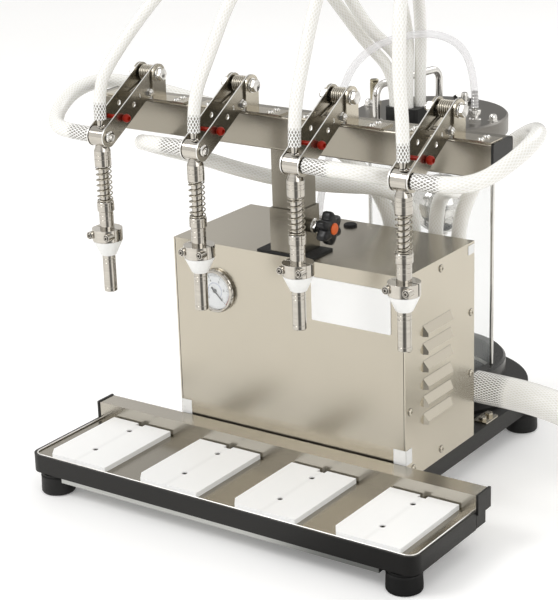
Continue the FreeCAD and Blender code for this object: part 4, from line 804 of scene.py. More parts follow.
MOUTH_SUNK, MOUTH_LIFT, MOUTH_SIDE, MOUTH_NARROW = 0.9, 0.3, 0.8, 3.2
FRONT_PLATE, PLATE_CORNER, PLATE_THICK = ((36, 219.5), (139.5, 270.5)), 1.6, 1.1
RIM_RADIUS, RIM_SUNK, TRAY_CORNER = 0.9, 0.25, 12.0
SEAM_FAR, SEAM_NEAR, SEAM_PROUD = 0.9, 0.3, 0.12
FILM_THICK, FILM_FOOT, FILM_HIGH = 0.35, HOUSING_LOW.z + 20, 18


def rubber_feet():
    low, high = box("rubber_feet")
    front, back, side = low.y + FOOT_RADIUS, high.y - FOOT_RADIUS, high.x - FOOT_RADIUS
    profile = [(0, 0), (17.0, 0), (19.2, 0.8), (20.1, 2.2), (20.2, 5), (19.9, 12), (19.7, 18.6), (19.9, 21.4),
               (19.5, 22.2), (18.6, 22.5), (18.6, FOOT_HEIGHT), (0, FOOT_HEIGHT)]
    feet = Shape()
    for centre in ((side, front), (-side, front), (BAR_CENTRE, back), (-BAR_CENTRE, back)):
        feet.turned("z", centre, profile, 64)
    feet.emit("rubber_feet_moulded", foot_rubber, "base", "foot_rubber", ("rubber_feet",))


def machine_screws():
    """The cross-head screws of the side panels, each on a thin dark disc of painted shadow, and the socket
    screws of the rests.
    """
    # A thin dark disc under each panel screw's head: painted shadow.
    seat = [(0, 0), (4.8, 0), (4.6, 0.15), (0, 0.15)]
    cheese = [(0, 0), (4.0, 0), (4.0, 0.9), (3.6, 1.6), (2.7, 2.15), (cross(2.1, 0.5), 2.2),
              (cross(1.8, 0.3), 0.9), (0, 0.8)]
    socket = [(0, -3), (3.2, -3), (3.2, -0.5), (2.8, 0), (flats(3.6), 0), (flats(3.4), -1.6), (0, -1.8)]
    heads, bits, shadow_rings = Shape(), Shape(), Shape()
    for side in (1, -1):
        for depth, height in PANEL_SCREWS:
            centre = (HOUSING_LOW.y + depth, HOUSING_LOW.z + height)
            shadow_rings.turned("x", centre, seat, start=side * PANEL_FACE, way=side)
            heads.turned("x", centre, cheese, 64, start=side * PANEL_FACE, way=side)
    for step in range(4):
        for y in REST_SCREW_Y:
            centre = (REST_FIRST + REST_PITCH * step, y)
            bits.turned("z", centre, socket, start=REST_HIGH.z - REST_SCREW_SUNK)
    heads.emit("panel_screws", bright_sheet, "base", "polished_steel", ("machine_screws",))
    shadow_rings.emit("screw_shadow_rings", dark_steel, "base", "polished_steel")
    bits.emit("rest_screws", dark_steel, "base", "polished_steel", ("machine_screws",))


def crinkled(shape, low, high, axis, face):
    """A corner piece of clear film, lying on a face a little unevenly."""
    steps = 6
    rows = []
    for row in range(steps + 1):
        line = []
        for column in range(steps + 1):
            u = low[0] + (high[0] - low[0]) * row / steps
            v = low[1] + (high[1] - low[1]) * column / steps
            lift = face + (1 if face > 0 else -1) * FILM_THICK * (0.5 + 0.5 * random.random())
            line.append(shape.point((lift, u, v) if axis == "x" else (u, lift, v)))
        rows.append(line)
    for here, there in zip(rows, rows[1:]):
        for k in range(steps):
            shape.face([here[k], there[k], there[k + 1], here[k + 1]])


def corner_films():
    """Protective film that is left on the housing's corners."""
    random.seed(4)
    film = Shape()
    front, back, top, side = HOUSING_LOW.y, HOUSING_HIGH.y, HOUSING_HIGH.z, PANEL_FACE
    foot, head = FILM_FOOT, FILM_FOOT + FILM_HIGH
    crinkled(film, (-side + 0.5, foot), (-side + 15, head), "y", front)
    crinkled(film, (side - 16, foot), (side, head), "y", front)
    crinkled(film, (front, foot), (front + 13, head), "x", side)
    crinkled(film, (back - 15, top - 14), (back - 1, top - 3), "x", side)
    film.emit("corner_film", film_white, "base", "white_plastic", sharp=60)


def blank_plate():
    """The bare white plate on the front of the housing."""
    front = HOUSING_LOW.y
    plate = Shape().sheet("y", rounded(*FRONT_PLATE, PLATE_CORNER), front - PLATE_THICK, front)
    plate.emit("front_plate", white_sheet, "base", "white_plastic", bevel=0.2)


def tray_rim():
    """Painted highlight along the edge of the tray's sheet, round its front and sides: a thin tube of bright
    steel.
    """
    low, high = box("drip_tray")
    top, back = high.z - RIM_SUNK, box("tray_rail")[0].y
    x, y, corner = high.x - RIM_RADIUS, low.y + RIM_RADIUS, TRAY_CORNER - RIM_RADIUS
    bends = (arc(-x + corner, y + corner, corner, 180, 270, 10)
             + arc(x - corner, y + corner, corner, 270, 360, 10))
    path = [(u, v, top) for u, v in ((-x, back), *bends, (x, back))]
    Shape().tube(path, RIM_RADIUS, 12).emit("tray_rim", edge_highlight_steel, "base", "stainless")


def panel_seams():
    """Painted shadow: a thin dark strip in the gap where the front sheet meets each side panel."""
    shadow_strips = Shape()
    front, side = HOUSING_LOW.y, HOUSING_HIGH.x
    for way in (-1, 1):
        left, right = sorted((way * (side - SEAM_FAR), way * (side - SEAM_NEAR)))
        shadow_strips.block((left, front - SEAM_PROUD, HOUSING_LOW.z + 0.6),
                    (right, front + SEAM_NEAR, HOUSING_HIGH.z - 0.6))
    shadow_strips.emit("panel_seams", black_rubber, "base", "seal")


def side_panels():
    """Both side sheets, each with six pressed louvres that open downwards. A dark patch in each louvre's
    mouth is painted shadow, and a patch of darker steel round each louvre is painted shade of its faint
    crease.
    """
    sheets, mouth_shadows, crease_shades = Shape(), Shape(), Shape()
    front, back, foot, top = HOUSING_LOW.y, HOUSING_HIGH.y, HOUSING_LOW.z, HOUSING_HIGH.z
    first, last = LOUVRE_Y
    for side in (-1, 1):
        wall = side * PANEL_FACE
        sheets.sheet("x", rectangle(front, back, foot, top), side * HOUSING_HIGH.x, wall)
        out, inner = wall + side * LOUVRE_STAND, wall + side * (LOUVRE_STAND - MOUTH_SUNK)
        raised = wall + side * CREASE_THICK
        for low in LOUVRE_FEET:
            high, mouth = low + LOUVRE_HEIGHT, low + MOUTH_LIFT
            root = [sheets.point((wall, y, z)) for y, z in rectangle(first, last, low, high)]
            lip = [sheets.point((out, y, z))
                   for y, z in rectangle(first + LIP_INSET, last - LIP_INSET, low, low + LIP_HEIGHT)]
            # Painted shade: a patch of darker steel round the louvre, where its crease is.
            crease_shades.block((min(wall, raised), first - CREASE_SIDE, low - CREASE_FOOT),
                          (max(wall, raised), last + CREASE_SIDE, high + CREASE_HEAD))
            for corners in (lip, (root[3], root[2], lip[2], lip[3]), (root[0], root[3], lip[3], lip[0]),
                            (root[1], root[2], lip[2], lip[1])):
                sheets.face(corners)
            # Painted shadow: a dark patch across the louvre's open mouth.
            mouth_shadows.patch(((wall, first + MOUTH_SIDE, mouth), (wall, last - MOUTH_SIDE, mouth),
                          (inner, last - MOUTH_NARROW, mouth), (inner, first + MOUTH_NARROW, mouth)))
    sheets.emit("side_panels_pressed", side_steel_lit, "base", "stainless", ("side_panels",), sharp=25)
    mouth_shadows.emit("louvre_mouth_shadows", black_rubber, "base", "black_plastic")
    crease_shades.emit("louvre_crease_shades", arm_steel, "base", "stainless")


def housing():
    side_panels()
    rubber_feet()
    tray_rim()
    panel_seams()
    machine_screws()
    corner_films()
    blank_plate()
    dress("base_frame", powder_coat, 0.8)
    dress("tray_trim", powder_coat, 0.6)
    dress("tray_support", satin_aluminium, 0.4)
    dress("drip_tray", floor_steel, 0.25)
    dress("tray_rail", tray_steel, 0.8)
    dress("bottle_rests", rest_white, 0.5)
    dress("housing_shell", front_steel, 0.6)
    dress("housing_gaskets", black_rubber, 0.5)
    dress("vessel_straps", bright_sheet, 0.4)
    dress("power_inlet", black_plastic, 0.5)
    dress("power_switch", black_plastic, 0.4)
    dress("vacuum_pump", pump_paint, 0.5)


# Gauge
DIAL_START, DIAL_TURN, DIAL_MARKS = 225.0, 270.0, 50
DIAL_SUNK, INK_LIFT, PRINT_LIFT = 3.4, 0.12, 0.1
LONG_MARK, HALF_MARK, SHORT_MARK, MARK_END, NUMBERS_AT = 16.2, 17.2, 18.2, 20.0, 12.9
INNER_SCALE, RED_BAND = (9.4, 9.9), (20.3, 21.3)


def band(shape, x, z, y, radii, first, last, steps):
    """A thin printed band round a dial, between two angles in degrees."""
    inner, outer = radii
    for step in range(steps):
        here, there = (math.radians(first + (last - first) * (step + more) / steps) for more in (0, 1))
        shape.patch([(x + radius * math.cos(angle), y, z + radius * math.sin(angle))
                     for radius, angle in rectangle(inner, outer, here, there)])


def gauge():
    """A vacuum gauge with plain ticks and numbers."""
    low, high = box("vacuum_gauge")
    x, z = (low.x + high.x) / 2, (low.z + high.z) / 2
    front, back = low.y, HOUSING_LOW.y
    case = Shape()
    case.turned("y", (x, z), [(22.0, back), (25.2, back), (26.0, back - 0.8), (26.0, back - 3.2),
                              (25.2, back - 4.2), (25.6, front + 1.4), (24.9, front + 0.4), (23.8, front),
                              (22.8, front + 0.3), (22.0, front + 1.3)], 96, closed=True)
    case.turned("y", (x, z), [(0, 1), (22.5, 1), (22.5, 24), (7.5, 24), (7.5, 36), (0, 36)], 64, start=back)
    case.emit("gauge_case", turned_steel, "base", "dial", ("vacuum_gauge",))
    dial_at = front + DIAL_SUNK
    dial = Shape().turned("y", (x, z), rectangle(0, 21.9, 0, 0.6), 96, start=dial_at)
    dial.emit("gauge_dial", dial_face, "base", "white_plastic")
    marks, scale, red = Shape(), Shape(), Shape()
    at = Vector((x, dial_at - INK_LIFT, z))
    for step in range(DIAL_MARKS + 1):
        angle = math.radians(DIAL_START - DIAL_TURN * step / DIAL_MARKS)
        inner = LONG_MARK if step % 10 == 0 else (HALF_MARK if step % 5 == 0 else SHORT_MARK)
        half = 0.34 if step % 10 == 0 else 0.17
        out = Vector((math.cos(angle), 0, math.sin(angle)))
        side = Vector((-math.sin(angle), 0, math.cos(angle)))
        marks.patch([at + out * radius + side * offset
                     for radius, offset in rectangle(inner, MARK_END, -half, half)])
        if step % 10 == 0:
            marks.letters(str(step // 5), 4.4, at + out * NUMBERS_AT, (1, 0, 0), (0, 0, 1), 0.1)
    marks.turned("y", (x, z), rectangle(0, 2.6, -0.5, 0), 32, start=dial_at)
    marks.emit("gauge_marks", dial_ink, "base", "black_plastic")
    band(scale, x, z, dial_at - PRINT_LIFT, INNER_SCALE, -44, 224, 67)
    scale.emit("gauge_inner_scale", dial_blue, "base", "dial")
    band(red, x, z, dial_at - PRINT_LIFT, RED_BAND, -45, -5, 12)
    red.emit("gauge_red_band", red_pin, "base", "dial")
    dress("gauge_lens", lens)
    dress("gauge_pointer", dial_ink, 0.1)


# Mast, sleeve and clamp
KNOB_Z = 322.0
KNOB_X = (38.0, 53.0)
BOSS_END = 26.0
STUD_START, STUD_PITCH, STUD_TURNS = 18.2, 1.5, 13


def lobed(size, swell):
    """The radius of a star grip with six lobes at each angle."""
    return lambda angle: size + swell * (0.5 + 0.5 * math.cos(6 * (angle - math.radians(30)))) ** 0.8


def clamp_knob():
    start, end = KNOB_X
    centre = (MAST_Y, KNOB_Z)
    grip = Shape().turned("x", centre, [
        (0, start - 4.6), (6.6, start - 4.6), (8.0, start - 3.4), (8.2, start - 0.5),
        (lobed(9.4, 4.6), start + 0.4), (lobed(12.4, 6.2), start + 2.0), (lobed(13.0, 6.5), start + 4.6),
        (lobed(13.0, 6.5), end - 4.4), (lobed(12.5, 6.2), end - 2.0), (lobed(11.2, 5.2), end - 0.5),
        (lobed(10.2, 3.4), end), (7.0, end), (6.9, end - 0.8), (0, end - 0.8)], 144)
    grip.emit("knob_grip", knob_plastic, "clamp_knob", "knob_plastic", ("clamp_knob",), sharp=50)
    dome = [(6.6, -0.8), (6.7, 0.6), (6.1, 1.5), (3.6, 2.2), (0, 2.4)]
    cap = Shape().turned("x", centre, dome, 64, start=end)
    cap.emit("knob_cap", orange_cap, "clamp_knob", "knob_plastic")
    profile = [(0, STUD_START - 0.3)]
    for turn in range(STUD_TURNS):
        along = STUD_START + STUD_PITCH * turn
        profile += [(3.5, along), (4.0, along + STUD_PITCH / 2)]
    stud = Shape().turned("x", centre, profile + [(3.5, start - 0.4), (0, start - 0.4)], 32)
    stud.ring("x", centre, 8.6, 4.0, BOSS_END + 0.1, BOSS_END + 1.3)
    stud.hexagon("x", centre, 14.0, BOSS_END + 1.3, BOSS_END + 6.2)
    stud.emit("knob_stud", chrome, "clamp_knob", "polished_steel")


def column():
    clamp_knob()
    dress("column_sleeve", mast_steel_shaded, 0.6)
    dress("mast", mast_steel_shaded, 0.9)
    dress("beam", beam_steel_shaded, 0.2)
    dress("beam_caps", black_plastic, 0.8)
    dress("spout_brackets", bright_sheet, 0.35)


# Spouts
ARM_HALF, ARM_SHEET, ARM_END = 11.7, 1.5, 12.0
EAR_OUTER = 14.2
BRACKET_SCREW_X, BRACKET_SCREW_EDGE = 42.2, 3.6
ROD_AT, ROD_LOBE = (-23.5, -7.2), 7.0
PIN_Y, PIN_HEAD, HOLE_Y = -74.3, 8.0, -52.0
NUMBER_SLOPE = (0.94, 0.34)
COIL_MEAN, COIL_WIRE, COIL_END = 8.5, 1.25, 8.4
COIL_TURNS, COIL_FIRST, COIL_STEPS = 6.54, -98, 28
BARREL_RADIUS, BARREL_HALF = 11.5, 9.9
BUSH_TOP, BUSH_BOTTOM, STACK = -8.0, -34.8, -182.8
SLEEVE_TOP, SLEEVE_LOW = -76.3, -87.1
COLLAR_TOP, COLLAR_LOW, COLLAR_RADIUS, COLLAR_BORE = -107.6, -121.4, 17.5, 8.3
COLLAR_GAP, COLLAR_SCREW_X = 0.9, 12.2
TUBE_BORE, CONE_BORE, CONE_TIP = 6.05, 7.55, -139.2
SPRING_MEAN, SPRING_WIRE, SPRING_TURNS, SPRING_STEPS = 8.5, 0.75, 7.5, 24
SPRING_GAP, SPRING_SHIFT, CLOSED_TURNS, CLOSED_RISE = 0.95, 0.9, 0.8, 1.4
MIDDLE = (0, 0)


def bracket_screws():
    low, high = box("bracket_screws")
    profile = [(0, low.z), (4.9, low.z), (4.9, low.z + 0.5), (3.6, low.z + 0.5), (3.5, low.z + 1.1),
               (2.9, low.z + 1.9), (1.7, high.z), (flats(2.4), high.z), (flats(2.3), low.z + 1.0),
               (0, low.z + 0.9)]
    screws = Shape()
    for i in STATIONS:
        for side in (-1, 1):
            for y in (low.y + BRACKET_SCREW_EDGE, high.y - BRACKET_SCREW_EDGE):
                screws.turned("z", (PIVOTS[i].x + side * BRACKET_SCREW_X, y), profile)
    screws.emit("foot_screws", chrome, "mast", "polished_steel", ("bracket_screws",))


def pivot_bolts():
    """A bolt through each pair of ears, with a washer and a nut outside each ear."""
    bolts = Shape()
    washer = [(4.0, 0), (8.2, 0), (8.4, 0.3), (8.4, 1.1), (8.1, 1.4)]
    collar = [(6.2, 1.4), (6.2, 1.9), (4.0, 1.9)]
    thread = [(0, 7.0)]
    for turn in range(5):
        thread += [(4.0, 8.0 + turn * 0.8), (3.6, 8.4 + turn * 0.8)]
    thread += [(3.0, 12.1), (0, 12.1)]
    for i in STATIONS:
        x, centre = PIVOTS[i].x, (PIVOTS[i].y, PIVOTS[i].z)
        right, left = x + EAR_OUTER, x - EAR_OUTER
        bolts.rod("x", centre, 4.0, left - 1, right + 1)
        bolts.turned("x", centre, washer + collar, closed=True, start=right)
        bolts.hexagon("x", centre, 13.0, right + 1.9, right + 6.4)
        bolts.turned("x", centre, washer + [(4.0, 1.4)], closed=True, start=left, way=-1)
        bolts.hexagon("x", centre, 13.0, left - 1.4, left - 7.9)
        bolts.turned("x", centre, thread, 32, start=left, way=-1)
    bolts.emit("pivot_bolts_turned", chrome, "mast", "polished_steel", ("pivot_bolts",))


def arm_outline():
    reach = math.degrees(math.asin((ARM_END + ROD_AT[1]) / ROD_LOBE))
    return (arc(-ARM_LENGTH, 0, ARM_END, 90, 270, 24)
            + arc(*ROD_AT, ROD_LOBE, 180 + reach, 360 - reach)
            + arc(0, 0, ARM_END, -90, 90, 24))


def light_edges(piece, material):
    """Give the narrow sides of sheets that face along x a second material: used for painted highlights on the
    edges.
    """
    piece.data.materials.append(material)
    for face in piece.data.polygons:
        if abs(face.normal.x) < 0.5:
            face.material_index = 1


def torsion_spring(turn, name, body):
    """Close coils round the pivot bolt, with one leg over the cross rod and one in front of it."""
    count = round(COIL_TURNS * COIL_STEPS)
    points = [(-COIL_END, -32.0, -1.7)]
    for k in range(count + 1):
        angle = math.radians(COIL_FIRST) + 2 * math.pi * COIL_TURNS * k / count
        points.append((-COIL_END + 2 * COIL_END * k / count, COIL_MEAN * math.cos(angle),
                       COIL_MEAN * math.sin(angle)))
    points.append((COIL_END, -30.0, -1.2))
    Shape(turn).tube(points, COIL_WIRE, 10).emit(name, spring_wire, body, "spring_steel", sharp=60)


def cross_rod(turn, name, body):
    """The rod between a pair of plates, with a washer and a nut on each side."""
    rod = Shape(turn).rod("x", ROD_AT, 3.0, -17.1, ARM_HALF + 4.6, soft=0.8)
    for side in (-1, 1):
        face = side * ARM_HALF
        rod.turned("x", ROD_AT, rectangle(3.0, 5.4, 0, 0.7), 40, closed=True, start=face, way=side)
        rod.hexagon("x", ROD_AT, 7.6, face + side * 0.7, face + side * 3.6)
    rod.turned("x", ROD_AT, [(3.3, 3.4), (3.2, 4.0), (2.4, 4.9), (0, 5.4)], 32, start=ARM_HALF)
    rod.emit(name, chrome, body, "polished_steel")


def arms(i):
    turn = Matrix.Translation(PIVOTS[i]) @ Matrix.Rotation(DROOP, 4, "X")
    body = "arm_%d" % i
    plates = Shape(turn)
    holes = [circle(HOLE_Y, 0, 3.0, 24), circle(0, 0, 4.1, 24)]
    for low in (-ARM_HALF, ARM_HALF - ARM_SHEET):
        plates.sheet("x", arm_outline(), low, low + ARM_SHEET, holes)
    cut = plates.emit("arm_plates_%d" % i, arm_steel, body, "stainless", ("arms_%d" % i,), bevel=0.25)
    light_edges(cut, edge_highlight_steel)
    cross_rod(turn, "cross_rod_%d" % i, body)
    tip = ARM_HALF + PIN_HEAD
    pin = Shape(turn).turned("x", (PIN_Y, 0), [
        (0, -13.7), (1.9, -13.7), (2.5, -13.1), (2.5, ARM_HALF), (3.0, ARM_HALF + 0.1), (4.1, ARM_HALF + 1.2),
        (4.8, ARM_HALF + 2.8), (4.9, ARM_HALF + 4.2), (4.6, tip - 2.0), (3.9, tip - 0.8), (2.9, tip - 0.1),
        (2.5, tip), (flats(4.2), tip - 0.3), (flats(4.0), tip - 2.6), (0, tip - 3.0)])
    pin.emit("red_pin_%d" % i, red_pin, body, "knob_plastic")
    torsion_spring(turn, "torsion_spring_%d" % i, body)
    level, rise = NUMBER_SLOPE
    mark = Shape(turn).letters(str(i), 7.0, (ARM_HALF + 0.05, HOLE_Y + 14.0, 0.5), (0, level, -rise),
                               (0, rise, level), 0.12)
    mark.emit("arm_number_%d" % i, white_mark, body, "white_plastic")


def grooved(radius, high, low, places):
    """Profile points down a cylinder, with a fine turned groove at each place."""
    points = [(radius, high)]
    for place in places:
        points += [(radius, place + 0.35), (radius - 0.22, place + 0.12), (radius - 0.22, place - 0.12),
                   (radius, place - 0.35)]
    return points + [(radius, low)]


def head(i):
    """The hinged block with its top pipe, its bush and fixed tube, and the spigot of the feed hose."""
    side = -1 if i < 3 else 1
    body = "head_%d" % i
    at = Matrix.Translation(HEADS[i])
    barrel = [(0, BARREL_HALF), (10.6, BARREL_HALF), (11.3, 9.5), (BARREL_RADIUS, 8.9)]
    shape = Shape(at)
    shape.turned("x", MIDDLE, [(radius, -along) for radius, along in barrel] + barrel[::-1], 72)
    shape.rod("z", MIDDLE, 4.0, 8, 24, 36, 0.4)
    shape.turned("z", MIDDLE, [(4.0, 10.6), (5.2, 10.6), (4.9, 11.6), (4.1, 12.3)], 36, closed=True)
    shape.turned("z", MIDDLE, [(0, BUSH_TOP), (6.0, BUSH_TOP), (6.3, BUSH_TOP - 0.6), (9.2, BUSH_TOP - 8.0),
                               *grooved(9.5, BUSH_TOP - 8.8, BUSH_BOTTOM + 0.8, (-21.0, -26.0)),
                               (9.1, BUSH_BOTTOM), (6.0, BUSH_BOTTOM), (6.0, STACK + 1.5), (4.5, STACK),
                               (3.4, STACK), (3.4, STACK + 12), (0, STACK + 12)], 72)
    shape.turned("x", MIDDLE, [(0, 9.5), (6.0, 9.5), (6.0, 20.6), (5.3, SPIGOT_END), (4.2, SPIGOT_END),
                               (4.2, 14), (0, 14)], 36, way=side)
    shape.emit("head_turned_%d" % i, turned_steel, body, "stainless", ("head_%d" % i,), sharp=18)
    seat = ARM_HALF + 0.2
    screw = Shape(at).turned("x", MIDDLE, [
        (0, 9.0), (5.9, 9.0), (5.9, seat), (7.0, seat), (7.0, seat + 1.2), (6.5, seat + 2.4),
        (5.2, seat + 3.2), (3.4, seat + 3.5), (flats(5.0), seat + 3.5), (flats(4.8), seat + 1.4),
        (0, seat + 1.2)], way=-side)
    screw.emit("hinge_screw_%d" % i, chrome, body, "polished_steel")
    # Thin black rings filling the gap between the barrel and each plate: painted shade between the parts.
    rings = Shape(at)
    for low in (-10.15, 9.95):
        rings.ring("x", MIDDLE, 11.35, 6.2, low, low + 0.2, 64, 0.05)
    rings.emit("hinge_gap_shades_%d" % i, black_rubber, body, "black_plastic")


def collar_half(shape, base):
    """Half of the split clamp collar, a little short of the plane where it meets the other half."""
    outer = math.degrees(math.asin(COLLAR_GAP / COLLAR_RADIUS))
    inner = math.degrees(math.asin(COLLAR_GAP / COLLAR_BORE))
    outline = (arc(0, 0, COLLAR_RADIUS, base + outer, base + 180 - outer, 40)
               + arc(0, 0, COLLAR_BORE, base + 180 - inner, base + inner, 24))
    shape.sheet("z", outline, COLLAR_LOW, COLLAR_TOP)


def nozzle(i):
    """The sliding tube with its sleeve, its split collar with two screws, and its white cone."""
    at = Matrix.Translation(HEADS[i])
    body = "nozzle_%d" % i
    tube = Shape(at).turned("z", MIDDLE, [
        (TUBE_BORE, SLEEVE_TOP), (9.2, SLEEVE_TOP),
        *grooved(9.75, SLEEVE_TOP - 0.6, SLEEVE_LOW + 0.6, (-80.0,)), (9.3, SLEEVE_LOW),
        *grooved(8.25, SLEEVE_LOW - 0.4, COLLAR_TOP, (-91.5, -97.0)),
        *grooved(7.5, COLLAR_TOP - 0.2, STACK + 0.6, (-143.5, -148.0, -178.0)),
        (7.1, STACK), (TUBE_BORE, STACK)], 64, closed=True)
    tube.emit("nozzle_tube_%d" % i, drawn_steel, body, "stainless", ("nozzle_%d" % i,), sharp=18)
    collar, screws, shadow_rings = Shape(at), Shape(at), Shape(at)
    for base in (0, 180):
        collar_half(collar, base)
    face = -COLLAR_RADIUS - 0.8
    for x in (-COLLAR_SCREW_X, COLLAR_SCREW_X):
        centre = (x, (COLLAR_TOP + COLLAR_LOW) / 2)
        screws.turned("y", centre, [(0, -8.0), (2.8, -8.0), (2.8, face + 0.4), (2.4, face), (1.8, face),
                                    (flats(2.7), face), (flats(2.5), face + 2.2), (0, face + 2.4)])
        collar.ring("y", centre, 4.4, 3.3, face + 0.6, -7.0)
        # A thin dark ring round each collar screw inside its boss: painted shadow in the counterbore.
        shadow_rings.ring("y", centre, 3.4, 2.7, -COLLAR_RADIUS + 1.2, -9.0, 40, 0.05)
    collar.emit("collar_%d" % i, collar_steel, body, "stainless", bevel=0.4)
    screws.emit("collar_screws_%d" % i, screw_steel, body, "polished_steel")
    shadow_rings.emit("collar_seats_%d" % i, black_plastic, body, "black_plastic")
    cone = Shape(at).turned("z", MIDDLE, [
        (CONE_BORE, COLLAR_LOW), (16.2, COLLAR_LOW), (17.0, COLLAR_LOW - 0.5), (16.9, COLLAR_LOW - 1.2),
        (9.3, CONE_TIP + 0.5), (8.8, CONE_TIP), (CONE_BORE, CONE_TIP)], 64, closed=True)
    cone.emit("cone_%d" % i, white_cone, body, "white_plastic")


def nozzle_spring(i):
    """An open coil spring with its end turns closed."""
    low, high, wire, turns = SLEEVE_TOP + SPRING_GAP, BUSH_BOTTOM - SPRING_GAP, SPRING_WIRE, SPRING_TURNS
    count = round(turns * SPRING_STEPS)
    points = []
    for k in range(count + 1):
        done = turns * k / count
        eased = min(max((done - CLOSED_TURNS) / (turns - 2 * CLOSED_TURNS), 0.0), 1.0)
        ends = min(done, CLOSED_TURNS) + max(done - turns + CLOSED_TURNS, 0.0)
        rise = CLOSED_RISE * wire * ends / CLOSED_TURNS
        height = low + rise + (high - low - 2 * CLOSED_RISE * wire) * eased
        angle = 2 * math.pi * done + SPRING_SHIFT * i
        points.append((SPRING_MEAN * math.cos(angle), SPRING_MEAN * math.sin(angle), height))
    spring = Shape(Matrix.Translation(HEADS[i])).tube(points, wire, 10)
    piece = spring.emit("nozzle_coil_%d" % i, spring_wire, "head_%d" % i, "spring_steel",
                        ("nozzle_spring_%d" % i,), sharp=60)
    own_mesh(piece)


def spouts():
    bracket_screws()
    pivot_bolts()
    for i in STATIONS:
        arms(i)
        head(i)
        nozzle(i)
        nozzle_spring(i)


# Vessel
VESSEL = Vector(middle("vessel_plate"))
LID_BASE, LID_TOP = (corner.z for corner in box("vessel_lid"))
CUP_TOP = box("vessel_base")[1].z
TIE_CIRCLE, TIE_RADIUS = 87.0, 2.5
FLOAT_RADIUS, FLOAT_BORE, FLOAT_RIM, FLOAT_SEAM = 37.0, 3.1, 0.13, 0.45
BARB, RELIEF, WING = (VESSEL + Vector(shift) for shift in ((70.0, -14.0), (-87.0, 13.5), (26.0, 40.0)))
STEM = (VESSEL.x + 16.0, VESSEL.y)
HANDLE_TURN, HANDLE_HALF, HANDLE_HEIGHT, HANDLE_BEND, HANDLE_RADIUS = -8.2, 61.0, 42.0, 14.0, 4.5


def tie_rods():
    rods = Shape()
    nut = flats(9.4)
    dome = [(0, 0.8), (nut, 0.8), (nut, 4.6), (4.7, 5.0), (4.5, 6.4), (3.2, 8.2), (0, 9.0)]
    for angle in full_turn(4):
        centre = (VESSEL.x + TIE_CIRCLE * math.cos(angle), VESSEL.y + TIE_CIRCLE * math.sin(angle))
        rods.rod("z", centre, TIE_RADIUS, CUP_TOP - 2, LID_BASE + 1, 24)
        rods.turned("z", centre, rectangle(TIE_RADIUS, 6.4, 0, 0.8), 40, closed=True, start=LID_TOP)
        rods.turned("z", centre, dome, start=LID_TOP)
    rods.emit("tie_rods_drawn", chrome, "base", "polished_steel", ("tie_rods",))


def lid_handle():
    side, rise, bend = HANDLE_HALF - HANDLE_BEND, HANDLE_HEIGHT - HANDLE_BEND, HANDLE_BEND
    outline = [(-HANDLE_HALF, 0), (-HANDLE_HALF, rise), *arc(-side, rise, bend, 180, 90, 14),
               *arc(side, rise, bend, 90, 0, 14), (HANDLE_HALF, 0)]
    turn = Matrix.Rotation(math.radians(HANDLE_TURN), 4, "Z")
    handle = Shape(Matrix.Translation((*middle("lid_handle"), LID_TOP)) @ turn)
    handle.tube([(0, u, v) for u, v in outline], HANDLE_RADIUS, 32)
    for foot in (-HANDLE_HALF, HANDLE_HALF):
        handle.ring("z", (0, foot), 7.4, 4.4, 0, 1.3)
    handle.emit("lid_handle_bent", chrome, "base", "polished_steel", ("lid_handle",))


def lid_fittings():
    """The clear hose's barb, the wing nut's stud, the float's stem and the relief post."""
    top, float_low = LID_TOP, box("float_ball")[0].z
    shape = Shape().hexagon("z", BARB, 14.0, top, top + 4.4)
    profile = [(0, 4), (4.4, 4), (4.4, 7), (5.6, 7.4), (5.6, 9), (6.8, 9.2)]
    profile += [(lambda angle: 7.0 + 0.22 * math.cos(24 * angle), height) for height in (9.8, 14.6)]
    profile += [(5.6, 15.2), (3.0, 15.4)]
    for k in range(5):
        profile += [(3.1, 17 + 4 * k), (4.45, 17.6 + 4 * k), (3.2, 19.4 + 4 * k)]
    shape.turned("z", BARB, profile + [(0, 37.4)], 96, start=top)
    # A dark rod inside the barb, showing between its ribs: painted shade in the grooves.
    Shape().rod("z", BARB, 3.6, top + 16, top + 37).emit("barb_groove_shade", dark_steel, "base", "polished_steel")
    shape.rod("z", WING, 3.0, top - 1, top + 20, soft=0.5)
    shape.rod("z", STEM, 3.0, float_low - 8, LID_BASE, 24)
    shape.rod("z", STEM, 7.5, float_low - 3, float_low - 0.1, 40)
    shape.emit("barb_and_studs", chrome, "base", "polished_steel", ("lid_fittings",))
    post = Shape().turned("z", RELIEF, [
        (0, 0), (3.2, 0), (3.2, 3.2), (5.0, 3.6), (5.5, 5), (5.5, 26.4), (5.0, 27.4), (5.4, 28.2),
        (5.4, 30.2), (4.4, 31), (0, 31)], start=top)
    post.emit("relief_valve", aged_steel, "base", "polished_steel", ("lid_fittings",))
    x, y = RELIEF
    foot = Shape().sheet("z", rounded((x - 6.5, y - 6.5), (x + 6.5, y + 6.5), 1.5), top, top + 3.0,
                         [circle(x, y, 3.3, 24)])
    foot.emit("relief_base", bright_sheet, "base", "stainless", bevel=0.3)


def float_ball():
    """A hollow ball, bored for its stem, with a fine seam round its middle."""
    low, high = box("float_ball")
    profile = [(FLOAT_BORE, FLOAT_RADIUS - FLOAT_RIM)]
    for k in range(1, 60):
        angle = math.pi * k / 60
        seam = FLOAT_SEAM * math.exp(-((angle - math.pi / 2) / 0.025) ** 2)
        size = FLOAT_RADIUS + seam - FLOAT_SEAM
        if size * math.sin(angle) > FLOAT_BORE + 0.1:
            profile.append((size * math.sin(angle), size * math.cos(angle)))
    profile.append((FLOAT_BORE, -FLOAT_RADIUS + FLOAT_RIM))
    ball = Shape(Matrix.Translation((low + high) / 2)).turned("z", MIDDLE, profile, 72, closed=True)
    ball.emit("float_ball_spun", chrome, "float_ball", "polished_steel", ("float_ball",))


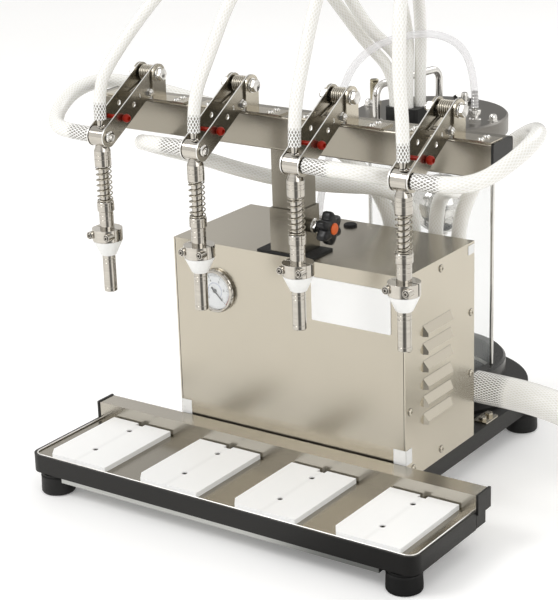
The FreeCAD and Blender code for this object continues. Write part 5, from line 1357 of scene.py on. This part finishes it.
def wing_nut():
    shape = Shape(Matrix.Translation((*middle("wing_nut"), box("wing_nut")[0].z)))
    hub = [(3.1, 0), (6.0, 0), (5.8, 1.2), (5.0, 6.4), (4.4, 8.0), (3.1, 8.0)]
    shape.turned("z", MIDDLE, hub, 40, closed=True)
    outline = [(3.6, 1.6), (8.0, 3.2), (12.4, 6.6), *arc(12.2, 11.4, 3.0, -40, 150), (7.2, 8.6), (4.2, 7.0)]
    for side in (-1, 1):
        shape.sheet("y", [(side * u, v) for u, v in outline], -1.3, 1.3)
    shape.emit("wing_nut_cast", chrome, "wing_nut", "polished_steel", ("wing_nut",), bevel=0.45, segments=3)


def vessel():
    tie_rods()
    lid_handle()
    lid_fittings()
    float_ball()
    wing_nut()
    dress("vessel_plate", powder_coat, 0.4)
    dress("vessel_base", cup_plastic, 0.8)
    dress("vessel_glass", glass)
    dress("vessel_lid", lid_steel, 0.6)
    dress("vessel_seals", seal_rubber)
    dress("lid_block", black_plastic, 0.8)


# Manifold at the back
HEADER_Z, INLET_Z = 240.0, 101.0


def manifold():
    """A header with four barbs for the feed hoses, fed by a down pipe from the large hose's barb."""
    depth, down = MAST_Y + MANIFOLD_DEPTH, BARBS[-1]
    shape = Shape()
    header = [(0, 20), (12.6, 20), (14, 21.4), (14, 138.6), (12.6, 140), (0, 140)]
    shape.turned("x", (depth, HEADER_Z), header, 56)
    barb = [(0, 0), (9.5, 0), (9.5, 17.4), (8.6, 18.2), (6.2, 18.4)]
    for k in range(3):
        barb += [(7.0, 19.6 + 3.4 * k), (6.0, 22.2 + 3.4 * k)]
    barb += [(5.6, OUTLET_TOP - HEADER_Z), (0, OUTLET_TOP - HEADER_Z)]
    for x in BARBS:
        shape.turned("z", (x, depth), barb, start=HEADER_Z)
    shape.turned("z", (down, depth), [(0, INLET_Z - 13), (10, INLET_Z - 13.4), (14, INLET_Z - 8),
                                      (14, HEADER_Z), (0, HEADER_Z)], 56)
    shape.turned("x", (depth, INLET_Z), [(0, -4), (16.4, -4), (18, -2.6), (18, 12.4), (16.4, 14), (15, 14),
                                         (15, 150 - down), (0, 150 - down)], 56, start=down)
    for x, z in ((32.0, HEADER_Z), (down, INLET_Z + 90)):
        shape.sheet("y", rounded((x - 6, z - 8), (x + 6, z + 8), 2), HOUSING_HIGH.y, depth - 6)
    shape.emit("manifold_welded", drawn_steel, "base", "stainless", ("feed_manifold",), bevel=0.3)


housing()
gauge()
column()
spouts()
vessel()
manifold()

# Stage
WALLS = [(0.0, 0.86), (0.15, 1.0), (0.27, 0.97), (0.305, 0.14), (0.345, 0.10), (0.385, 0.16), (0.42, 0.97),
         (0.64, 1.0), (0.77, 0.92), (0.805, 0.30), (0.838, 0.36), (0.866, 0.92), (0.93, 0.95), (1.0, 0.86)]
FLOOR_SIZE, FLOOR_GLOW = 24.0, 0.16
LAMPS = (("Key", (-1.6, -2.2, 2.8), 1.6, 48.0), ("Fill", (2.6, -1.4, 1.6), 2.0, 18.0),
         ("Back", (0.4, 2.4, 2.4), 1.8, 18.0))
LAMP_AIM = Vector((0, 0, 0.25))


def ray_kinds(tree):
    """1 for rays from metal, and 1 for those and for rays from the camera or through glass."""
    path = add(tree, "LightPath")
    metal = path.outputs["Is Glossy Ray"]
    direct = compute(tree, "MAXIMUM", path.outputs["Is Camera Ray"], path.outputs["Is Transmission Ray"])
    return metal, compute(tree, "MAXIMUM", direct, metal)


def around(tree, place):
    """Brightness round the studio as metal shows it: pale walls with two dark openings."""
    turn = add(tree, "TexGradient", gradient_type="RADIAL", Vector=place).outputs["Fac"]
    return ramp(tree, turn, [(share, (level, 0.985 * level, 0.955 * level)) for share, level in WALLS])


def floor():
    bpy.ops.mesh.primitive_plane_add(size=FLOOR_SIZE)
    plane = bpy.context.object
    plane.name = "Floor"
    material, tree = new_material("floor")
    paint = ramp(tree, noise(tree, 3.0, 2.0), [(0.3, (0.95, 0.947, 0.94)), (0.7, (0.965, 0.962, 0.955))])
    metal, seen = ray_kinds(tree)
    lit = between(tree, metal, grey(1.0), around(tree, coordinates(tree)))
    shade(tree, {"Base Color": multiply(tree, paint, lit), "Emission Color": lit,
                 "Emission Strength": compute(tree, "MULTIPLY", seen, FLOOR_GLOW), "Roughness": 0.6})
    plane.data.materials.append(material)


def world():
    """A pale studio. Metal shows its darker openings, which fade out overhead."""
    studio = bpy.data.worlds.new("Studio")
    bpy.context.scene.world = studio
    studio.use_nodes = True
    tree = studio.node_tree
    place = add(tree, "TexCoord").outputs["Generated"]
    upward = add(tree, "SeparateXYZ", Vector=place).outputs["Z"]
    height = ramp(tree, upward, [(0.0, grey(0.0)), (0.35, grey(0.0)), (0.6, grey(1.0))])
    overhead = ramp(tree, upward, [(0.5, (0.92, 0.91, 0.89)), (0.72, (0.62, 0.61, 0.59)),
                                   (0.9, (0.95, 0.94, 0.92))])
    walls = between(tree, height, around(tree, place), overhead)
    metal, seen = ray_kinds(tree)
    level = add(tree, "MapRange", Value=seen, **{"To Min": 0.72}).outputs["Result"]
    background = tree.nodes["Background"]
    feed(tree, background.inputs["Color"], between(tree, metal, (1.0, 0.995, 0.985), walls))
    feed(tree, background.inputs["Strength"], level)


def lamps():
    for name, place, size, power in LAMPS:
        data = bpy.data.lights.new(name, "AREA")
        data.energy = power
        data.size = size
        lamp = bpy.data.objects.new(name, data)
        bpy.context.scene.collection.objects.link(lamp)
        lamp.location = place
        lamp.rotation_euler = (LAMP_AIM - lamp.location).to_track_quat("-Z", "Y").to_euler()


floor()
world()
lamps()
bpy.context.scene.view_settings.view_transform = "Standard"
